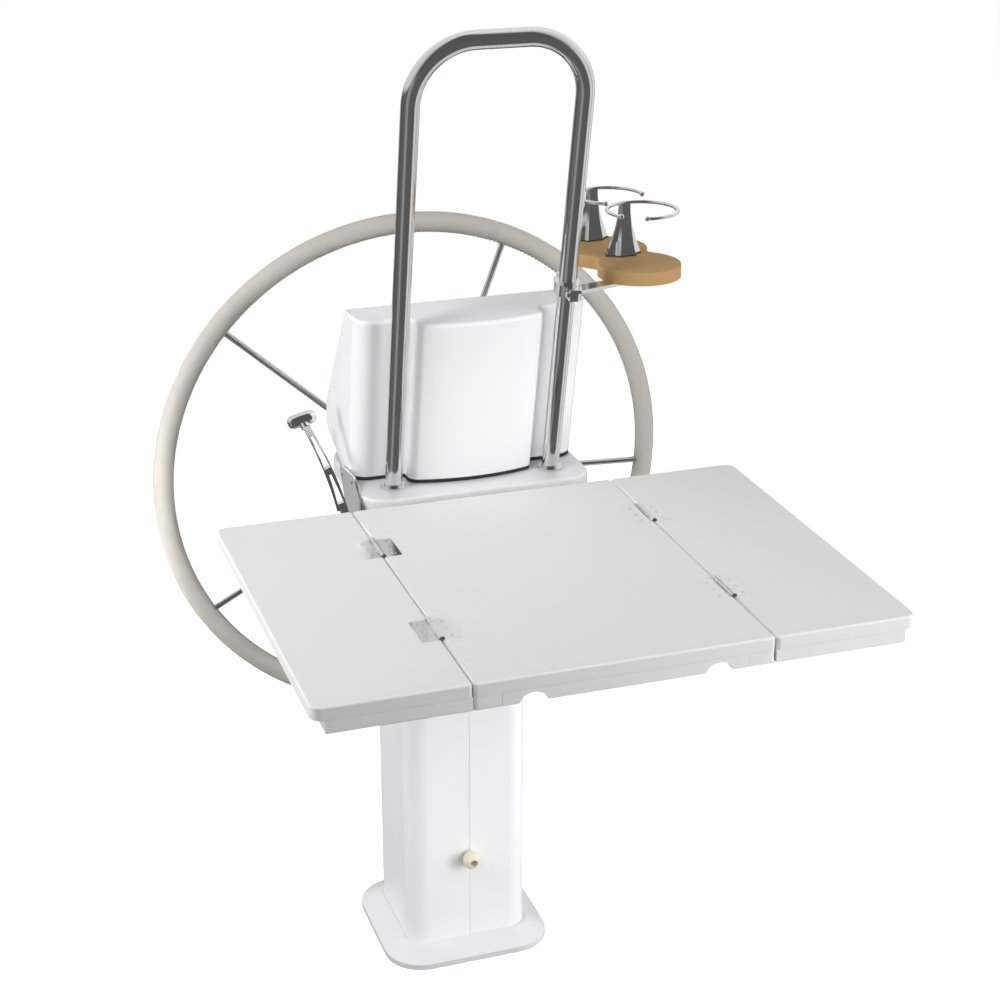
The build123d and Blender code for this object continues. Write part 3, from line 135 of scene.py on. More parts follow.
# Drink holder
BOARD_TOP = 1148.0 * MM
HOLDER_ALONG = Vector((13.0, -96.0, 0.0)).normalized()
HOLDER_ACROSS = Vector((-HOLDER_ALONG.y, HOLDER_ALONG.x, 0.0))
LOBES = {"front": Vector((245.0, -148.0, 0.0)) * MM, "rear": Vector((232.0, -52.0, 0.0)) * MM}
RING_GAPS = {"front": (234.0, 22.0), "rear": (297.5, 54.5)}
POST_SETBACK = 46.0 * MM
POST_STEPS = 28
POST_PAD = 2.0 * MM
POST_PAD_OVERHANG = 1.02
FLARE_POWER = 1.85
FACE_TOP = 6.5 * MM
FACE_FLARE = 6.0 * MM
FRONT_TOP = 5.0 * MM
FRONT_FLARE = 8.0 * MM
BACK_TOP = 5.0 * MM
BACK_FLARE = 9.0 * MM
BACK_TAPER = 0.8
COVE_IN = 0.86
COVE_FRONT = 0.42
RING_STEPS = 96
WIRE_SIDES = 24

# Rails that make the frame under the table's centre board
CENTRE_RAILS = ("centre_left_rail", "centre_right_rail", "centre_front_rail", "centre_back_rail")
RAIL_EDGE = 10.0 * MM

# Screw places in millimetres
LEAF_SEAM_X = 196.5
LEAF_HINGES_Y = (-313.0, -578.0)
LEAF_SCREW_REACH = 16.0
LEAF_SCREW_STEP = 21.0
TABLE_TOP = 830.0
BRACKET_SCREWS = [(x, -101.0, z) for x in (-18.0, 18.0) for z in (750.0, 778.0)]
SOCKET_SCREWS = [(x, -100.0, z) for x in (-21.0, 21.0) for z in (482.0, 518.0)]
CONTROL_SCREWS = [(-178.0, -48.0, 838.0), (-178.0, -104.0, 846.0), (-178.0, -92.0, 770.0)]
STRUT_SCREWS = [(x, y, 808.0) for x in (-17.0, 17.0) for y in (-343.0, -297.0)]
ARM_SCREWS = [(x, y, 807.0) for x in (-57.0, -31.0, 31.0, 57.0) for y in (-350.0, -290.0, -230.0)]
FLANGE_FACE = 103.0
FLANGE_SCREW_CIRCLE = 41.0
SHAFT_LEVEL = 738.5
FACE_MIDDLE = Vector((0.0, 146.5, 152.0))
FACE_RUN = Vector((0.0, -93.0, 200.0)).normalized()
FACE_THICK = 4.0
FACE_SCREWS = [(x, y) for x in (-150.0, 0.0, 150.0) for y in (-78.0, 86.0)]
SCREW_SIDES = 24
UP = (0.0, 0.0, 1.0)

# Screw heads, as shares of their rise or radius
SCREW_SINK = 0.6
SHOULDER_RISE = 0.5
CROWN_SHARE = 0.88
SOCKET_SHARE = 0.5
SOCKET_DEPTH = 1.6

# Finishes: ends of the patches in the noise, and the detail of patches and grain
PATCH_ENDS = (0.32, 0.68)
PATCH_DETAIL = 4.0
GRAIN_DETAIL = 3.0

# Camera found from the photograph
CAMERA_PLACE = (-0.84307, -2.74201, 1.92321)
CAMERA_TURN = (radians(67.83), 0.0, radians(-18.68))
CAMERA_LENS = 72.63
CAMERA_SENSOR = 36.0

# Studio: a soft sky for the paint, and walls for the mirrors as (share of the turn, level) stops
FLOOR_HALF = 30.0
FLOOR_TINT = "FFFFFF"
FLOOR_GLOW = 0.64
SKY_STOPS = (0.0, 0.47, 0.53, 1.0)
SOFT_SKY = (0.17, 0.17, 0.25, 0.42)
HIGH_WALLS = (
    (0.0, 0.7), (0.06, 0.5), (0.1, 0.1), (0.36, 0.1), (0.4, 0.6), (0.55, 0.9), (0.8, 0.8), (1.0, 0.7),
)
LOW_WALLS = (
    (0.0, 0.12), (0.04, 0.14), (0.06, 0.3), (0.12, 0.3), (0.15, 0.12), (0.36, 0.11), (0.39, 0.75),
    (0.455, 0.75), (0.46, 0.2), (0.475, 0.2), (0.48, 0.8), (0.6, 0.8), (0.63, 0.08), (0.78, 0.05),
    (0.79, 0.6), (0.815, 0.6), (0.825, 0.05), (0.87, 0.08), (0.9, 0.12), (1.0, 0.12),
)
HORIZON = 0.06
# Lamps as (name, place, target, size, power, spread)
LAMPS = (
    ("right_key", (1.7, -1.9, 1.6), (0.0, -0.4, 0.8), 0.9, 18.0, radians(150)),
    ("left_top", (-1.6, -0.9, 2.4), (0.0, 0.0, 0.7), 0.8, 6.8, radians(90)),
    ("left_fill", (-2.6, 0.4, 0.9), (0.0, 0.0, 0.7), 1.2, 23.0, radians(140)),
    ("pod_fill", (0.9, -2.4, 1.6), (0.0, -0.1, 1.0), 0.4, 0.22, radians(24)),
    ("wheel_fill", (-2.2, -1.6, 1.1), (-0.62, 0.19, 0.72), 0.3, 0.65, radians(14)),
    ("right_low", (1.4, -1.3, 0.4), (0.0, -0.1, 0.35), 0.9, 2.4, radians(60)),
    ("column_fill", (0.3, -2.4, 0.45), (0.0, -0.1, 0.22), 0.8, 0.6, radians(32)),
)


def linear(code):
    """Linear colour from an sRGB hex code."""
    values = [int(code[place:place + 2], 16) / 255 for place in (0, 2, 4)]
    return [v / 12.92 if v <= 0.04045 else ((v + 0.055) / 1.055) ** 2.4 for v in values]


def length(label, note, size):
    """Length property, given in millimetres and kept in metres."""
    return bpy.props.FloatProperty(
        name=label, description=note, default=size * MM, min=0.0, precision=5,
        unit="LENGTH", subtype="DISTANCE",
    )


def turn(label, note, degrees):
    """Angle property, given in degrees."""
    return bpy.props.FloatProperty(
        name=label, description=note, default=radians(degrees), unit="ROTATION", subtype="ANGLE"
    )


def colour(label, note, code):
    """Colour property, given as an sRGB hex code."""
    return bpy.props.FloatVectorProperty(
        name=label, description=note, default=linear(code), size=3, min=0.0, max=1.0, subtype="COLOR"
    )


class HelmSizes(bpy.types.PropertyGroup):
    """Sizes of the pieces that are shaped here."""

    plate_ease: length("Plate ease", "Rounding on the edges of plates", 0.8)
    base_ease: length("Base ease", "Rounding on the rim of the cast base", 2.5)
    board_ease: length("Board ease", "Rounding on the edges of the table's boards and rails", 0.8)
    rail_corner: length("Rail corner", "Rounding on the upright corners of the centre board's rails", 6.0)
    bead_radius: length("Seam bead radius", "Radius of the sealant in the column's seams", 1.0)
    hardware_ease: length("Hardware ease", "Rounding on the edges of small steel parts", 0.5)
    guard_radius: length("Guard tube radius", "Outside radius of the bent guard tube", 12.7)
    guard_spacing: length("Guard spacing", "Distance between the guard's two legs", 241.3)
    guard_crown: length("Guard crown", "Height of the guard's crown along its rake", 680.0)
    guard_bend: length("Guard bend", "Radius of the guard's two bends", 85.0)
    guard_rake: turn("Guard rake", "Lean of the guard towards the table", 12.0)
    foot_radius: length("Foot ring radius", "Radius of the ring round each guard leg", 18.5)
    foot_height: length("Foot ring height", "Height of the ring round each guard leg", 4.5)
    rim_radius: length("Rim radius", "Radius of the wheel's rim to its centre line", 405.0)
    cover_radius: length("Cover radius", "Radius of the suede cover's section", 16.1)
    spoke_radius: length("Spoke radius", "Radius of a wheel spoke", 5.0)
    spoke_angle: turn("First spoke", "Angle of the first spoke from starboard", 67.0)
    stitch_pitch: length("Stitch pitch", "Distance from stitch to stitch", 7.0)
    stitch_length: length("Stitch length", "Length of one stitch", 7.0)
    thread_radius: length("Thread radius", "Radius of the sewing thread", 0.8)
    bumper_radius: length("Bumper radius", "Radius of the ball on the column", 14.5)
    knob_half_length: length("Knob half length", "Half the throttle knob's length", 22.0)
    knob_radius: length("Knob radius", "Radius of the throttle knob", 10.5)
    ring_radius: length("Cup ring radius", "Radius of a cup ring to the wire's middle", 50.0)
    ring_wire: length("Cup ring wire", "Radius of the cup ring's wire", 2.6)
    ring_ball: length("Cup ring ball", "Radius of the balls on the ring's ends", 3.8)
    post_height: length("Cup post height", "Height of a cup post", 77.0)
    post_foot: length("Cup post foot", "Width of a cup post at its foot", 56.0)
    post_top: length("Cup post top", "Width of a cup post at its top", 18.0)
    screw_radius: length("Screw head radius", "Radius of the small screw heads", 3.6)
    screw_rise: length("Screw head rise", "Height of the small screw heads", 0.8)
    hinge_screw_rise: length("Hinge screw rise", "Height of the screw heads sunk in the leaf hinges", 0.25)


class HelmFinishes(bpy.types.PropertyGroup):
    """Colours of the finishes."""

    gelcoat: colour("Gelcoat", "White gelcoat of the column and pod", "F2F2F0")
    paint: colour("Casting paint", "White paint of the base and head", "F1F1F0")
    board: colour("Table board", "White plastic board of the table", "EDEDEA")
    steel: colour("Polished steel", "Polished stainless steel", "CDCCC9")
    machined: colour("Machined steel", "Turned and milled steel", "A8A8A6")
    suede: colour("Suede", "Suede hide of the rim cover", "F6F3EA")
    thread: colour("Thread", "Waxed sewing thread", "A9A296")
    teak_light: colour("Light teak", "Pale wood between the pores", "C48F44")
    teak_dark: colour("Dark teak", "Dark lines of the grain", "9A672B")
    nylon: colour("Nylon", "Cream nylon of the bumper", "F3EFE4")
    rubber: colour("Rubber", "Black rubber of the seals", "161616")


def add(tree, kind, inputs=None, **options):
    """New node in a tree; an input is a plain value or another node's output."""
    node = tree.nodes.new(kind)
    for name, value in options.items():
        setattr(node, name, value)
    for name, value in (inputs or {}).items():
        socket = node.inputs[name]
        if isinstance(value, bpy.types.NodeSocket):
            tree.links.new(value, socket)
        else:
            socket.default_value = value
    return node


def shaded(tint, share):
    """A tint made darker by a share, as a node colour."""
    return [value * share for value in tint] + [1.0]


def shades(tint, low, high=1.0):
    """Two strengths of a tint, as node colours."""
    return shaded(tint, low), shaded(tint, high)


def finish(name, shine, tints, rough, patch, grain, depth, stretch=(1.0, 1.0, 1.0), twist=0.0):
    """Material whose patches move colour and roughness, and whose finer grain raises the surface.

    patch and grain are counted per metre; stretch draws both out along the axes turned by twist.
    """
    made = bpy.data.materials.new(name)
    made.use_nodes = True
    tree = made.node_tree
    tree.nodes.clear()
    place = add(tree, "ShaderNodeTexCoord").outputs["Object"]
    lie = {"Vector": place, "Rotation": (0.0, 0.0, twist), "Scale": stretch}
    drawn = add(tree, "ShaderNodeMapping", lie, vector_type="TEXTURE").outputs["Vector"]
    patches = {"Vector": drawn, "Scale": patch, "Detail": PATCH_DETAIL}
    cloud = add(tree, "ShaderNodeTexNoise", patches).outputs["Fac"]
    tint = add(tree, "ShaderNodeValToRGB", {"Fac": cloud})
    for element, spot, value in zip(tint.color_ramp.elements, PATCH_ENDS, tints):
        element.position = spot
        element.color = value
    sheen = {"Value": cloud, "From Min": PATCH_ENDS[0], "From Max": PATCH_ENDS[1]}
    sheen.update({"To Min": rough[0], "To Max": rough[1]})
    dull = add(tree, "ShaderNodeMapRange", sheen).outputs["Result"]
    grains = {"Vector": drawn, "Scale": grain, "Detail": GRAIN_DETAIL}
    fine = add(tree, "ShaderNodeTexNoise", grains).outputs["Fac"]
    raised = add(tree, "ShaderNodeBump", {"Height": fine, "Distance": depth}).outputs["Normal"]
    parts = {"Base Color": tint.outputs["Color"], "Roughness": dull, "Normal": raised}
    shader = add(tree, "ShaderNodeBsdfPrincipled", {**shine, **parts})
    add(tree, "ShaderNodeOutputMaterial", {"Surface": shader.outputs["BSDF"]})


def mix_finishes(tints):
    """All the object's finishes, each named for its slot in the record."""
    # Gelcoat comes out of a polished mould: deep gloss, with a slow ripple that bends long reflections
    pair = shades(tints.gelcoat, 0.975)
    gloss = {"Coat Weight": 0.3, "Coat Roughness": 0.04}
    finish("white_gelcoat", gloss, pair, rough=(0.16, 0.24), patch=8.0, grain=20.0, depth=0.05 * MM)
    # Paint over a casting: gloss with a fine orange peel
    pair = shades(tints.paint, 0.97)
    gloss = {"Coat Weight": 0.2, "Coat Roughness": 0.06}
    finish("painted_casting", gloss, pair, rough=(0.2, 0.3), patch=14.0, grain=260.0, depth=0.02 * MM)
    # Polyethylene board: satin, stippled by the sheet's roller
    pair = shades(tints.board, 0.96)
    finish("table_board", {}, pair, rough=(0.38, 0.5), patch=26.0, grain=420.0, depth=0.06 * MM)
    # Buffed stainless: a mirror with a slight waviness and a few duller patches
    metal = {"Metallic": 1.0}
    pair = shades(tints.steel, 0.9)
    finish("polished_steel", metal, pair, rough=(0.05, 0.12), patch=30.0, grain=90.0, depth=0.006 * MM)
    # Turned and milled steel: dull, with tool lines
    pair = shades(tints.machined, 0.8)
    lines = {"grain": 700.0, "depth": 0.02 * MM, "stretch": (6.0, 1.0, 1.0)}
    finish("machined_steel", metal, pair, rough=(0.28, 0.4), patch=60.0, **lines)
    # Suede: a short nap that brushes lighter and darker in hand-sized patches
    pair = shades(tints.suede, 0.9)
    nap = {"Sheen Weight": 0.35, "Sheen Roughness": 0.5, "Specular IOR Level": 0.15}
    finish("suede_cover", nap, pair, rough=(0.85, 0.95), patch=55.0, grain=520.0, depth=0.35 * MM)
    # Oiled teak: straight grain along the board with dark pores
    pair = shaded(tints.teak_dark, 1.0), shaded(tints.teak_light, 1.0)
    lie = HOLDER_ALONG.to_2d().angle_signed(Vector((1.0, 0.0)))
    pores = {"grain": 420.0, "depth": 0.12 * MM, "stretch": (22.0, 1.0, 1.0), "twist": lie}
    finish("teak", {"Specular IOR Level": 0.25}, pair, rough=(0.5, 0.65), patch=170.0, **pores)
    # Turned nylon: waxy, light goes a little way in
    pair = shades(tints.nylon, 0.94)
    wax = {"Subsurface Weight": 0.2, "Subsurface Scale": 2.0 * MM}
    finish("cream_nylon", wax, pair, rough=(0.35, 0.45), patch=120.0, grain=500.0, depth=0.03 * MM)
    # Moulded rubber: dull black with a grey bloom
    pair = shades(tints.rubber, 0.8, 1.6)
    finish("black_rubber", {}, pair, rough=(0.55, 0.75), patch=80.0, grain=600.0, depth=0.05 * MM)
    # Waxed polyester thread: a twist that catches small lights
    pair = shades(tints.thread, 0.75)
    finish("waxed_thread", {}, pair, rough=(0.45, 0.6), patch=900.0, grain=1400.0, depth=0.1 * MM)


def body_of(node):
    """Body that a CAD node rides on."""
    return frame["nodes"][node]["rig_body"]


def put(name, mesh, body, slot, *nodes):
    """Show a mesh on a body, in place of the CAD nodes that it stands for."""
    piece = bpy.data.objects.new(name, mesh)
    bpy.context.scene.collection.objects.link(piece)
    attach(piece, body)
    if nodes:
        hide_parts(*nodes)
    return piece


def as_mesh(shape, name, finish_name):
    """Mesh of a shape, smooth but for its sharp edges, in one finish."""
    mesh = bpy.data.meshes.new(name)
    shape.to_mesh(mesh)
    shape.free()
    mesh.shade_smooth()
    mesh.set_sharp_from_angle(angle=SHARP_ANGLE)
    mesh.materials.clear()
    mesh.materials.append(bpy.data.materials[finish_name])
    return mesh


def built(name, shape, slot, node):
    """Piece shaped here, in place of a CAD node and on its body."""
    return put(name, as_mesh(shape, name, slot), body_of(node), slot, node)


def welded(node):
    """Copy of a CAD node's mesh with its split corners joined and its flat faces whole."""
    shape = bmesh.new()
    shape.from_mesh(frame["nodes"][node].data)
    bmesh.ops.remove_doubles(shape, verts=shape.verts, dist=WELD)
    bmesh.ops.dissolve_limit(shape, angle_limit=FLAT_ANGLE, verts=shape.verts, edges=shape.edges)
    return shape


def levelled(shape, node, slot):
    """Piece that stands for a CAD node, its flat faces shaded flat beside its rounds."""
    piece = put(f"{node}_finished", as_mesh(shape, node, slot), body_of(node), slot, node)
    even = piece.modifiers.new("Flat faces stay flat", "WEIGHTED_NORMAL")
    even.keep_sharp = True
    return piece


def smoothed(slot, *nodes):
    """Joined copies of CAD nodes, so that rounds shade as rounds."""
    return [levelled(welded(node), node, slot) for node in nodes]


def eased(slot, width, *nodes):
    """Joined copies of CAD nodes with their sharp edges rounded over."""
    for piece in smoothed(slot, *nodes):
        edge = piece.modifiers.new("Eased edges", "BEVEL")
        edge.width = width
        edge.segments = EASE_SEGMENTS
        edge.limit_method = "ANGLE"
        edge.angle_limit = SHARP_ANGLE
        piece.modifiers.move(len(piece.modifiers) - 1, 0)


def rounded(slot, node, *cuts):
    """Joined copy of a CAD node with edges rounded, from (radius, steps, chosen) rows."""
    shape = welded(node)
    for radius, steps, chosen in cuts:
        edges = [edge for edge in shape.edges if chosen(edge)]
        bmesh.ops.bevel(shape, geom=edges, offset=radius, segments=steps, profile=0.5, affect="EDGES")
    return levelled(shape, node, slot)


def slabs(slot, width, *nodes):
    """Copies of the boards with their lower edges rounded over."""
    underside = min(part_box(node)[0][2] for node in nodes) + CORNER_REACH

    def lower(edge):
        sharp = edge.calc_face_angle(0.0) > SHARP_ANGLE
        return sharp and max(vert.co.z for vert in edge.verts) < underside

    return [rounded(slot, node, (width, EASE_SEGMENTS, lower)) for node in nodes]


def rails(slot, radius, width, *nodes):
    """Copies of a frame's rails, rounded on its upright corners and eased where they meet."""
    boxes = [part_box(node) for node in nodes]
    ends = []
    for axis in (0, 1):
        ends.append((min(low[axis] for low, high in boxes), max(high[axis] for low, high in boxes)))

    def upright(edge):
        first, last = [vert.co for vert in edge.verts]
        return (first.xy - last.xy).length < CORNER_REACH and edge.calc_length() > RAIL_EDGE

    def corner(edge):
        gaps = [min(abs(at - end) for end in pair) for at, pair in zip(edge.verts[0].co, ends)]
        return upright(edge) and max(gaps) < CORNER_REACH

    def meeting(edge):
        return upright(edge) and edge.calc_face_angle(0.0) > SHARP_ANGLE

    cuts = (radius, CORNER_STEPS, corner), (width, EASE_SEGMENTS, meeting)
    return [rounded(slot, node, *cuts) for node in nodes]


def dressed(slot, *nodes):
    """CAD nodes shown as they are, in a finish."""
    for node in nodes:
        piece = frame["nodes"][node]
        piece.data.materials.clear()
        piece.data.materials.append(bpy.data.materials[slot])


def bands(rings, closed_along=False):
    """Shape with its rows of corners, from closed rings of points with quads between neighbours."""
    shape = bmesh.new()
    rows = [[shape.verts.new(point) for point in ring] for ring in rings]
    for low, high in zip(rows, rows[1:] + rows[:1] if closed_along else rows[1:]):
        for place in range(len(low)):
            beside = (place + 1) % len(low)
            shape.faces.new((low[place], low[beside], high[beside], high[place]))
    return shape, rows


def skinned(rings, closed_along=False):
    """Solid shape through rings of points, with flat ends unless it closes on itself."""
    shape, rows = bands(rings, closed_along)
    if not closed_along:
        shape.faces.new(list(reversed(rows[0])))
        shape.faces.new(rows[-1])
    bmesh.ops.recalc_face_normals(shape, faces=shape.faces)
    return shape


def spun(profile, centre, axis):
    """Shape of (radius, along) points turned about an axis; points on the axis close it."""
    side = axis.orthogonal().normalized()
    other = axis.cross(side)
    turns = [2 * pi * step / SPIN_STEPS for step in range(SPIN_STEPS)]
    ways = [side * cos(a) + other * sin(a) for a in turns]
    rings = [[centre + axis * along + way * radius for way in ways] for radius, along in profile]
    shape = bands(rings)[0]
    bmesh.ops.remove_doubles(shape, verts=shape.verts, dist=WELD)
    bmesh.ops.recalc_face_normals(shape, faces=shape.faces)
    return shape


def chain(paths, closed=False):
    """Mesh of edges along one or more rows of points."""
    mesh = bpy.data.meshes.new("path")
    points, edges = [], []
    for path in paths:
        first = len(points)
        points += path
        edges += [(place, place + 1) for place in range(first, len(points) - 1)]
        if closed:
            edges.append((len(points) - 1, first))
    mesh.from_pydata(points, edges, [])
    return mesh


def new_tree(name, inputs):
    """Geometry tree with a geometry input and the named inputs; returns it with its given sockets."""
    tree = bpy.data.node_groups.new(name, "GeometryNodeTree")
    tree.interface.new_socket("Geometry", in_out="OUTPUT", socket_type="NodeSocketGeometry")
    for label, kind in {"Geometry": "Geometry", **inputs}.items():
        tree.interface.new_socket(label, in_out="INPUT", socket_type=f"NodeSocket{kind}")
    return tree, add(tree, "NodeGroupInput").outputs


def end_tree(tree, geometry, finish_socket):
    """Real geometry in one finish, shaded smooth, as the tree's result."""
    real = add(tree, "GeometryNodeRealizeInstances", {"Geometry": geometry}).outputs["Geometry"]
    soft = add(tree, "GeometryNodeSetShadeSmooth", {"Geometry": real}).outputs["Geometry"]
    done = add(tree, "GeometryNodeSetMaterial", {"Geometry": soft, "Material": finish_socket})
    add(tree, "NodeGroupOutput", {"Geometry": done.outputs["Geometry"]})
    return tree


def tube_tree():
    """Round bar along every path in a mesh."""
    inputs = {"Tube radius": "Float", "Sides": "Int", "Finish": "Material"}
    tree, given = new_tree("Tube along a path", inputs)
    path = add(tree, "GeometryNodeMeshToCurve", {"Mesh": given["Geometry"]}).outputs["Curve"]
    section = {"Resolution": given["Sides"], "Radius": given["Tube radius"]}
    ring = add(tree, "GeometryNodeCurvePrimitiveCircle", section).outputs["Curve"]
    swept = {"Curve": path, "Profile Curve": ring, "Fill Caps": True}
    return end_tree(tree, add(tree, "GeometryNodeCurveToMesh", swept).outputs["Mesh"], given["Finish"])


def stitch_tree():
    """Leaning stitches at an even pitch round a path, facing away from the wheel's centre line."""
    inputs = {"Pitch": "Float", "Stitch length": "Float", "Thread radius": "Float", "Lean": "Float"}
    tree, given = new_tree("Stitches along a seam", {**inputs, "Centre": "Vector", "Finish": "Material"})
    path = add(tree, "GeometryNodeMeshToCurve", {"Mesh": given["Geometry"]}).outputs["Curve"]
    holes = add(tree, "GeometryNodeCurveToPoints", {"Curve": path, "Length": given["Pitch"]}, mode="LENGTH")
    spot = add(tree, "GeometryNodeInputPosition").outputs["Position"]
    ends = {0: spot, 1: given["Centre"]}
    reach = add(tree, "ShaderNodeVectorMath", ends, operation="SUBTRACT").outputs["Vector"]
    sides = {0: reach, 1: WHEEL_AXIS}
    along = add(tree, "ShaderNodeVectorMath", sides, operation="CROSS_PRODUCT").outputs["Vector"]
    axes = {"Primary Axis": reach, "Secondary Axis": along}
    faced = add(tree, "FunctionNodeAxesToRotation", axes, primary_axis="Z", secondary_axis="X")
    tilt = add(tree, "FunctionNodeAxisAngleToRotation", {"Angle": given["Lean"]}).outputs["Rotation"]
    leaning = {"Rotation": faced.outputs["Rotation"], "Rotate By": tilt}
    lie = add(tree, "FunctionNodeRotateRotation", leaning, rotation_space="LOCAL").outputs["Rotation"]
    round_ball = {"Segments": THREAD_SIDES, "Rings": THREAD_RINGS, "Radius": 1.0}
    ball = add(tree, "GeometryNodeMeshUVSphere", round_ball).outputs["Mesh"]
    halved = {0: given["Stitch length"], 1: 0.5}
    half = add(tree, "ShaderNodeMath", halved, operation="MULTIPLY").outputs["Value"]
    thick = given["Thread radius"]
    size = add(tree, "ShaderNodeCombineXYZ", {"X": half, "Y": thick, "Z": thick}).outputs["Vector"]
    thread = add(tree, "GeometryNodeTransform", {"Geometry": ball, "Scale": size}).outputs["Geometry"]
    sewn = {"Points": holes.outputs["Points"], "Instance": thread, "Rotation": lie}
    row = add(tree, "GeometryNodeInstanceOnPoints", sewn).outputs["Instances"]
    return end_tree(tree, row, given["Finish"])


def screw_tree():
    """One screw head on every point, turned to the point's outward direction."""
    tree, given = new_tree("Screw heads", {"Head": "Object", "Finish": "Material"})
    out = add(tree, "GeometryNodeInputNamedAttribute", {"Name": "outward"}, data_type="FLOAT_VECTOR")
    ahead = {"Vector": out.outputs["Attribute"]}
    lie = add(tree, "FunctionNodeAlignRotationToVector", ahead, axis="Z").outputs["Rotation"]
    head = add(tree, "GeometryNodeObjectInfo", {"Object": given["Head"]}).outputs["Geometry"]
    driven = {"Points": given["Geometry"], "Instance": head, "Rotation": lie}
    heads = add(tree, "GeometryNodeInstanceOnPoints", driven).outputs["Instances"]
    return end_tree(tree, heads, given["Finish"])


def baked(name, source, tree, inputs):
    """Mesh that a tree makes from a source mesh, with its inputs set by name."""
    holder = bpy.data.objects.new(name, source)
    bpy.context.scene.collection.objects.link(holder)
    modifier = holder.modifiers.new(tree.name, "NODES")
    modifier.node_group = tree
    for item in tree.interface.items_tree:
        if item.in_out == "INPUT" and item.name in inputs:
            modifier[item.identifier] = inputs[item.name]
    graph = bpy.context.evaluated_depsgraph_get()
    mesh = bpy.data.meshes.new_from_object(holder.evaluated_get(graph), depsgraph=graph)
    mesh.name = name
    bpy.data.objects.remove(holder)
    return mesh


def tube(name, paths, radius, sides, slot):
    """Baked round bar along one or more paths."""
    inputs = {"Tube radius": radius, "Sides": sides, "Finish": bpy.data.materials[slot]}
    return baked(name, chain(paths), tube_tree(), inputs)


def raked(sizes, across, up):
    """Point in the guard's raked plane."""
    lean = sizes.guard_rake
    return Vector((across, GUARD_Y - up * sin(lean), GUARD_LEVEL + up * cos(lean)))


def guard_path(sizes):
    """Centre line of the guard, up one leg, over the crown and down the other."""
    half = sizes.guard_spacing / 2
    bend = sizes.guard_bend
    flat = [(-half, GUARD_FOOT)]
    for middle, start in ((-half + bend, pi), (half - bend, pi / 2)):
        for step in range(BEND_STEPS + 1):
            turned = start - pi / 2 * step / BEND_STEPS
            flat.append((middle + bend * cos(turned), sizes.guard_crown - bend + bend * sin(turned)))
    flat.append((half, GUARD_FOOT))
    return [raked(sizes, across, up) for across, up in flat]


def foot_ring(sizes, side):
    """Turned ring on the plate round one guard leg."""
    up = (PLATE_TOP - GUARD_LEVEL) / cos(sizes.guard_rake)
    centre = raked(sizes, side * sizes.guard_spacing / 2, up)
    outer, high = sizes.foot_radius, sizes.foot_height
    profile = [(FOOT_BORE, 0.0), (outer, 0.0), (outer, high - FOOT_LIP)]
    for step in range(1, LIP_STEPS + 1):
        turned = pi / 2 * step / LIP_STEPS
        profile.append((outer - FOOT_LIP + FOOT_LIP * cos(turned), high - FOOT_LIP + FOOT_LIP * sin(turned)))
    profile += [(FOOT_BORE, high), (FOOT_BORE, 0.0)]
    return spun(profile, centre, Vector(UP))


def spoke_angles(sizes):
    """Angles of the spokes round the wheel."""
    return [sizes.spoke_angle + 2 * pi * number / SPOKE_COUNT for number in range(SPOKE_COUNT)]


def spoke_paths(sizes):
    """Dished spokes from inside the hub to inside the cover."""
    paths = []
    for angle in spoke_angles(sizes):
        out = Vector((cos(angle), 0.0, sin(angle)))
        root = WHEEL_CENTRE + out * SPOKE_ROOT.x + WHEEL_AXIS * SPOKE_ROOT.y
        tip = WHEEL_CENTRE + out * sizes.rim_radius
        paths.append([root.lerp(tip, share) for share in SPOKE_SHOWN])
    return paths


def around(angle, middle):
    """Signed angle from a middle, the short way round."""
    return (angle - middle + pi) % (2 * pi) - pi


def cover_radius(sizes, angle, section):
    """Section radius of the suede cover: sewn groove inside, puckers, slack ripples and joints."""
    seam = around(section, pi)
    stitches = round(2 * pi * (sizes.rim_radius - sizes.cover_radius) / sizes.stitch_pitch)
    radius = sizes.cover_radius - SEAM_DEPTH * exp(-(seam / SEAM_WIDTH) ** 2)
    radius -= PUCKER_DEPTH * (1 - cos(stitches * angle)) / 2 * exp(-(seam / PUCKER_SPREAD) ** 2)
    radius -= HIDE_RIPPLE
    for count, turns, phase in HIDE_WAVES:
        radius += HIDE_RIPPLE / len(HIDE_WAVES) * sin(count * angle + turns * section + phase)
    for spoke in spoke_angles(sizes):
        near = around(angle, spoke)
        fold = exp(-(near / GATHER_SPREAD) ** 2) * (1 - cos(section)) / 2
        radius -= GATHER_DEPTH * fold * (1 + sin(GATHER_FOLDS * near)) / 2
        radius -= JOINT_DEPTH * exp(-((near - JOINT_OFFSET) / JOINT_WIDTH) ** 2)
    return radius


def on_rim(sizes, angle, section, radius):
    """Point on the cover, round the wheel by angle and round the section by section."""
    out = Vector((cos(angle), 0.0, sin(angle)))
    across = out * (sizes.rim_radius + radius * cos(section))
    return WHEEL_CENTRE + across + WHEEL_AXIS * radius * sin(section)


def suede_cover(sizes):
    """Sewn cover round the whole rim."""
    sections = [2 * pi * side / COVER_SIDES for side in range(COVER_SIDES)]
    rings = []
    for step in range(COVER_STEPS):
        angle = 2 * pi * step / COVER_STEPS
        rings.append([on_rim(sizes, angle, part, cover_radius(sizes, angle, part)) for part in sections])
    return skinned(rings, closed_along=True)


def cover_stitches(sizes):
    """Stitches over the cover's seam, on the rim's inner side."""
    radius = sizes.cover_radius - STITCH_SINK
    seam = [on_rim(sizes, 2 * pi * step / COVER_STEPS, pi, radius) for step in range(COVER_STEPS)]
    inputs = {"Pitch": sizes.stitch_pitch, "Stitch length": sizes.stitch_length, "Lean": STITCH_LEAN}
    inputs.update({"Thread radius": sizes.thread_radius, "Centre": WHEEL_CENTRE})
    inputs["Finish"] = bpy.data.materials["waxed_thread"]
    return baked("rim_stitches", chain([seam], closed=True), stitch_tree(), inputs)


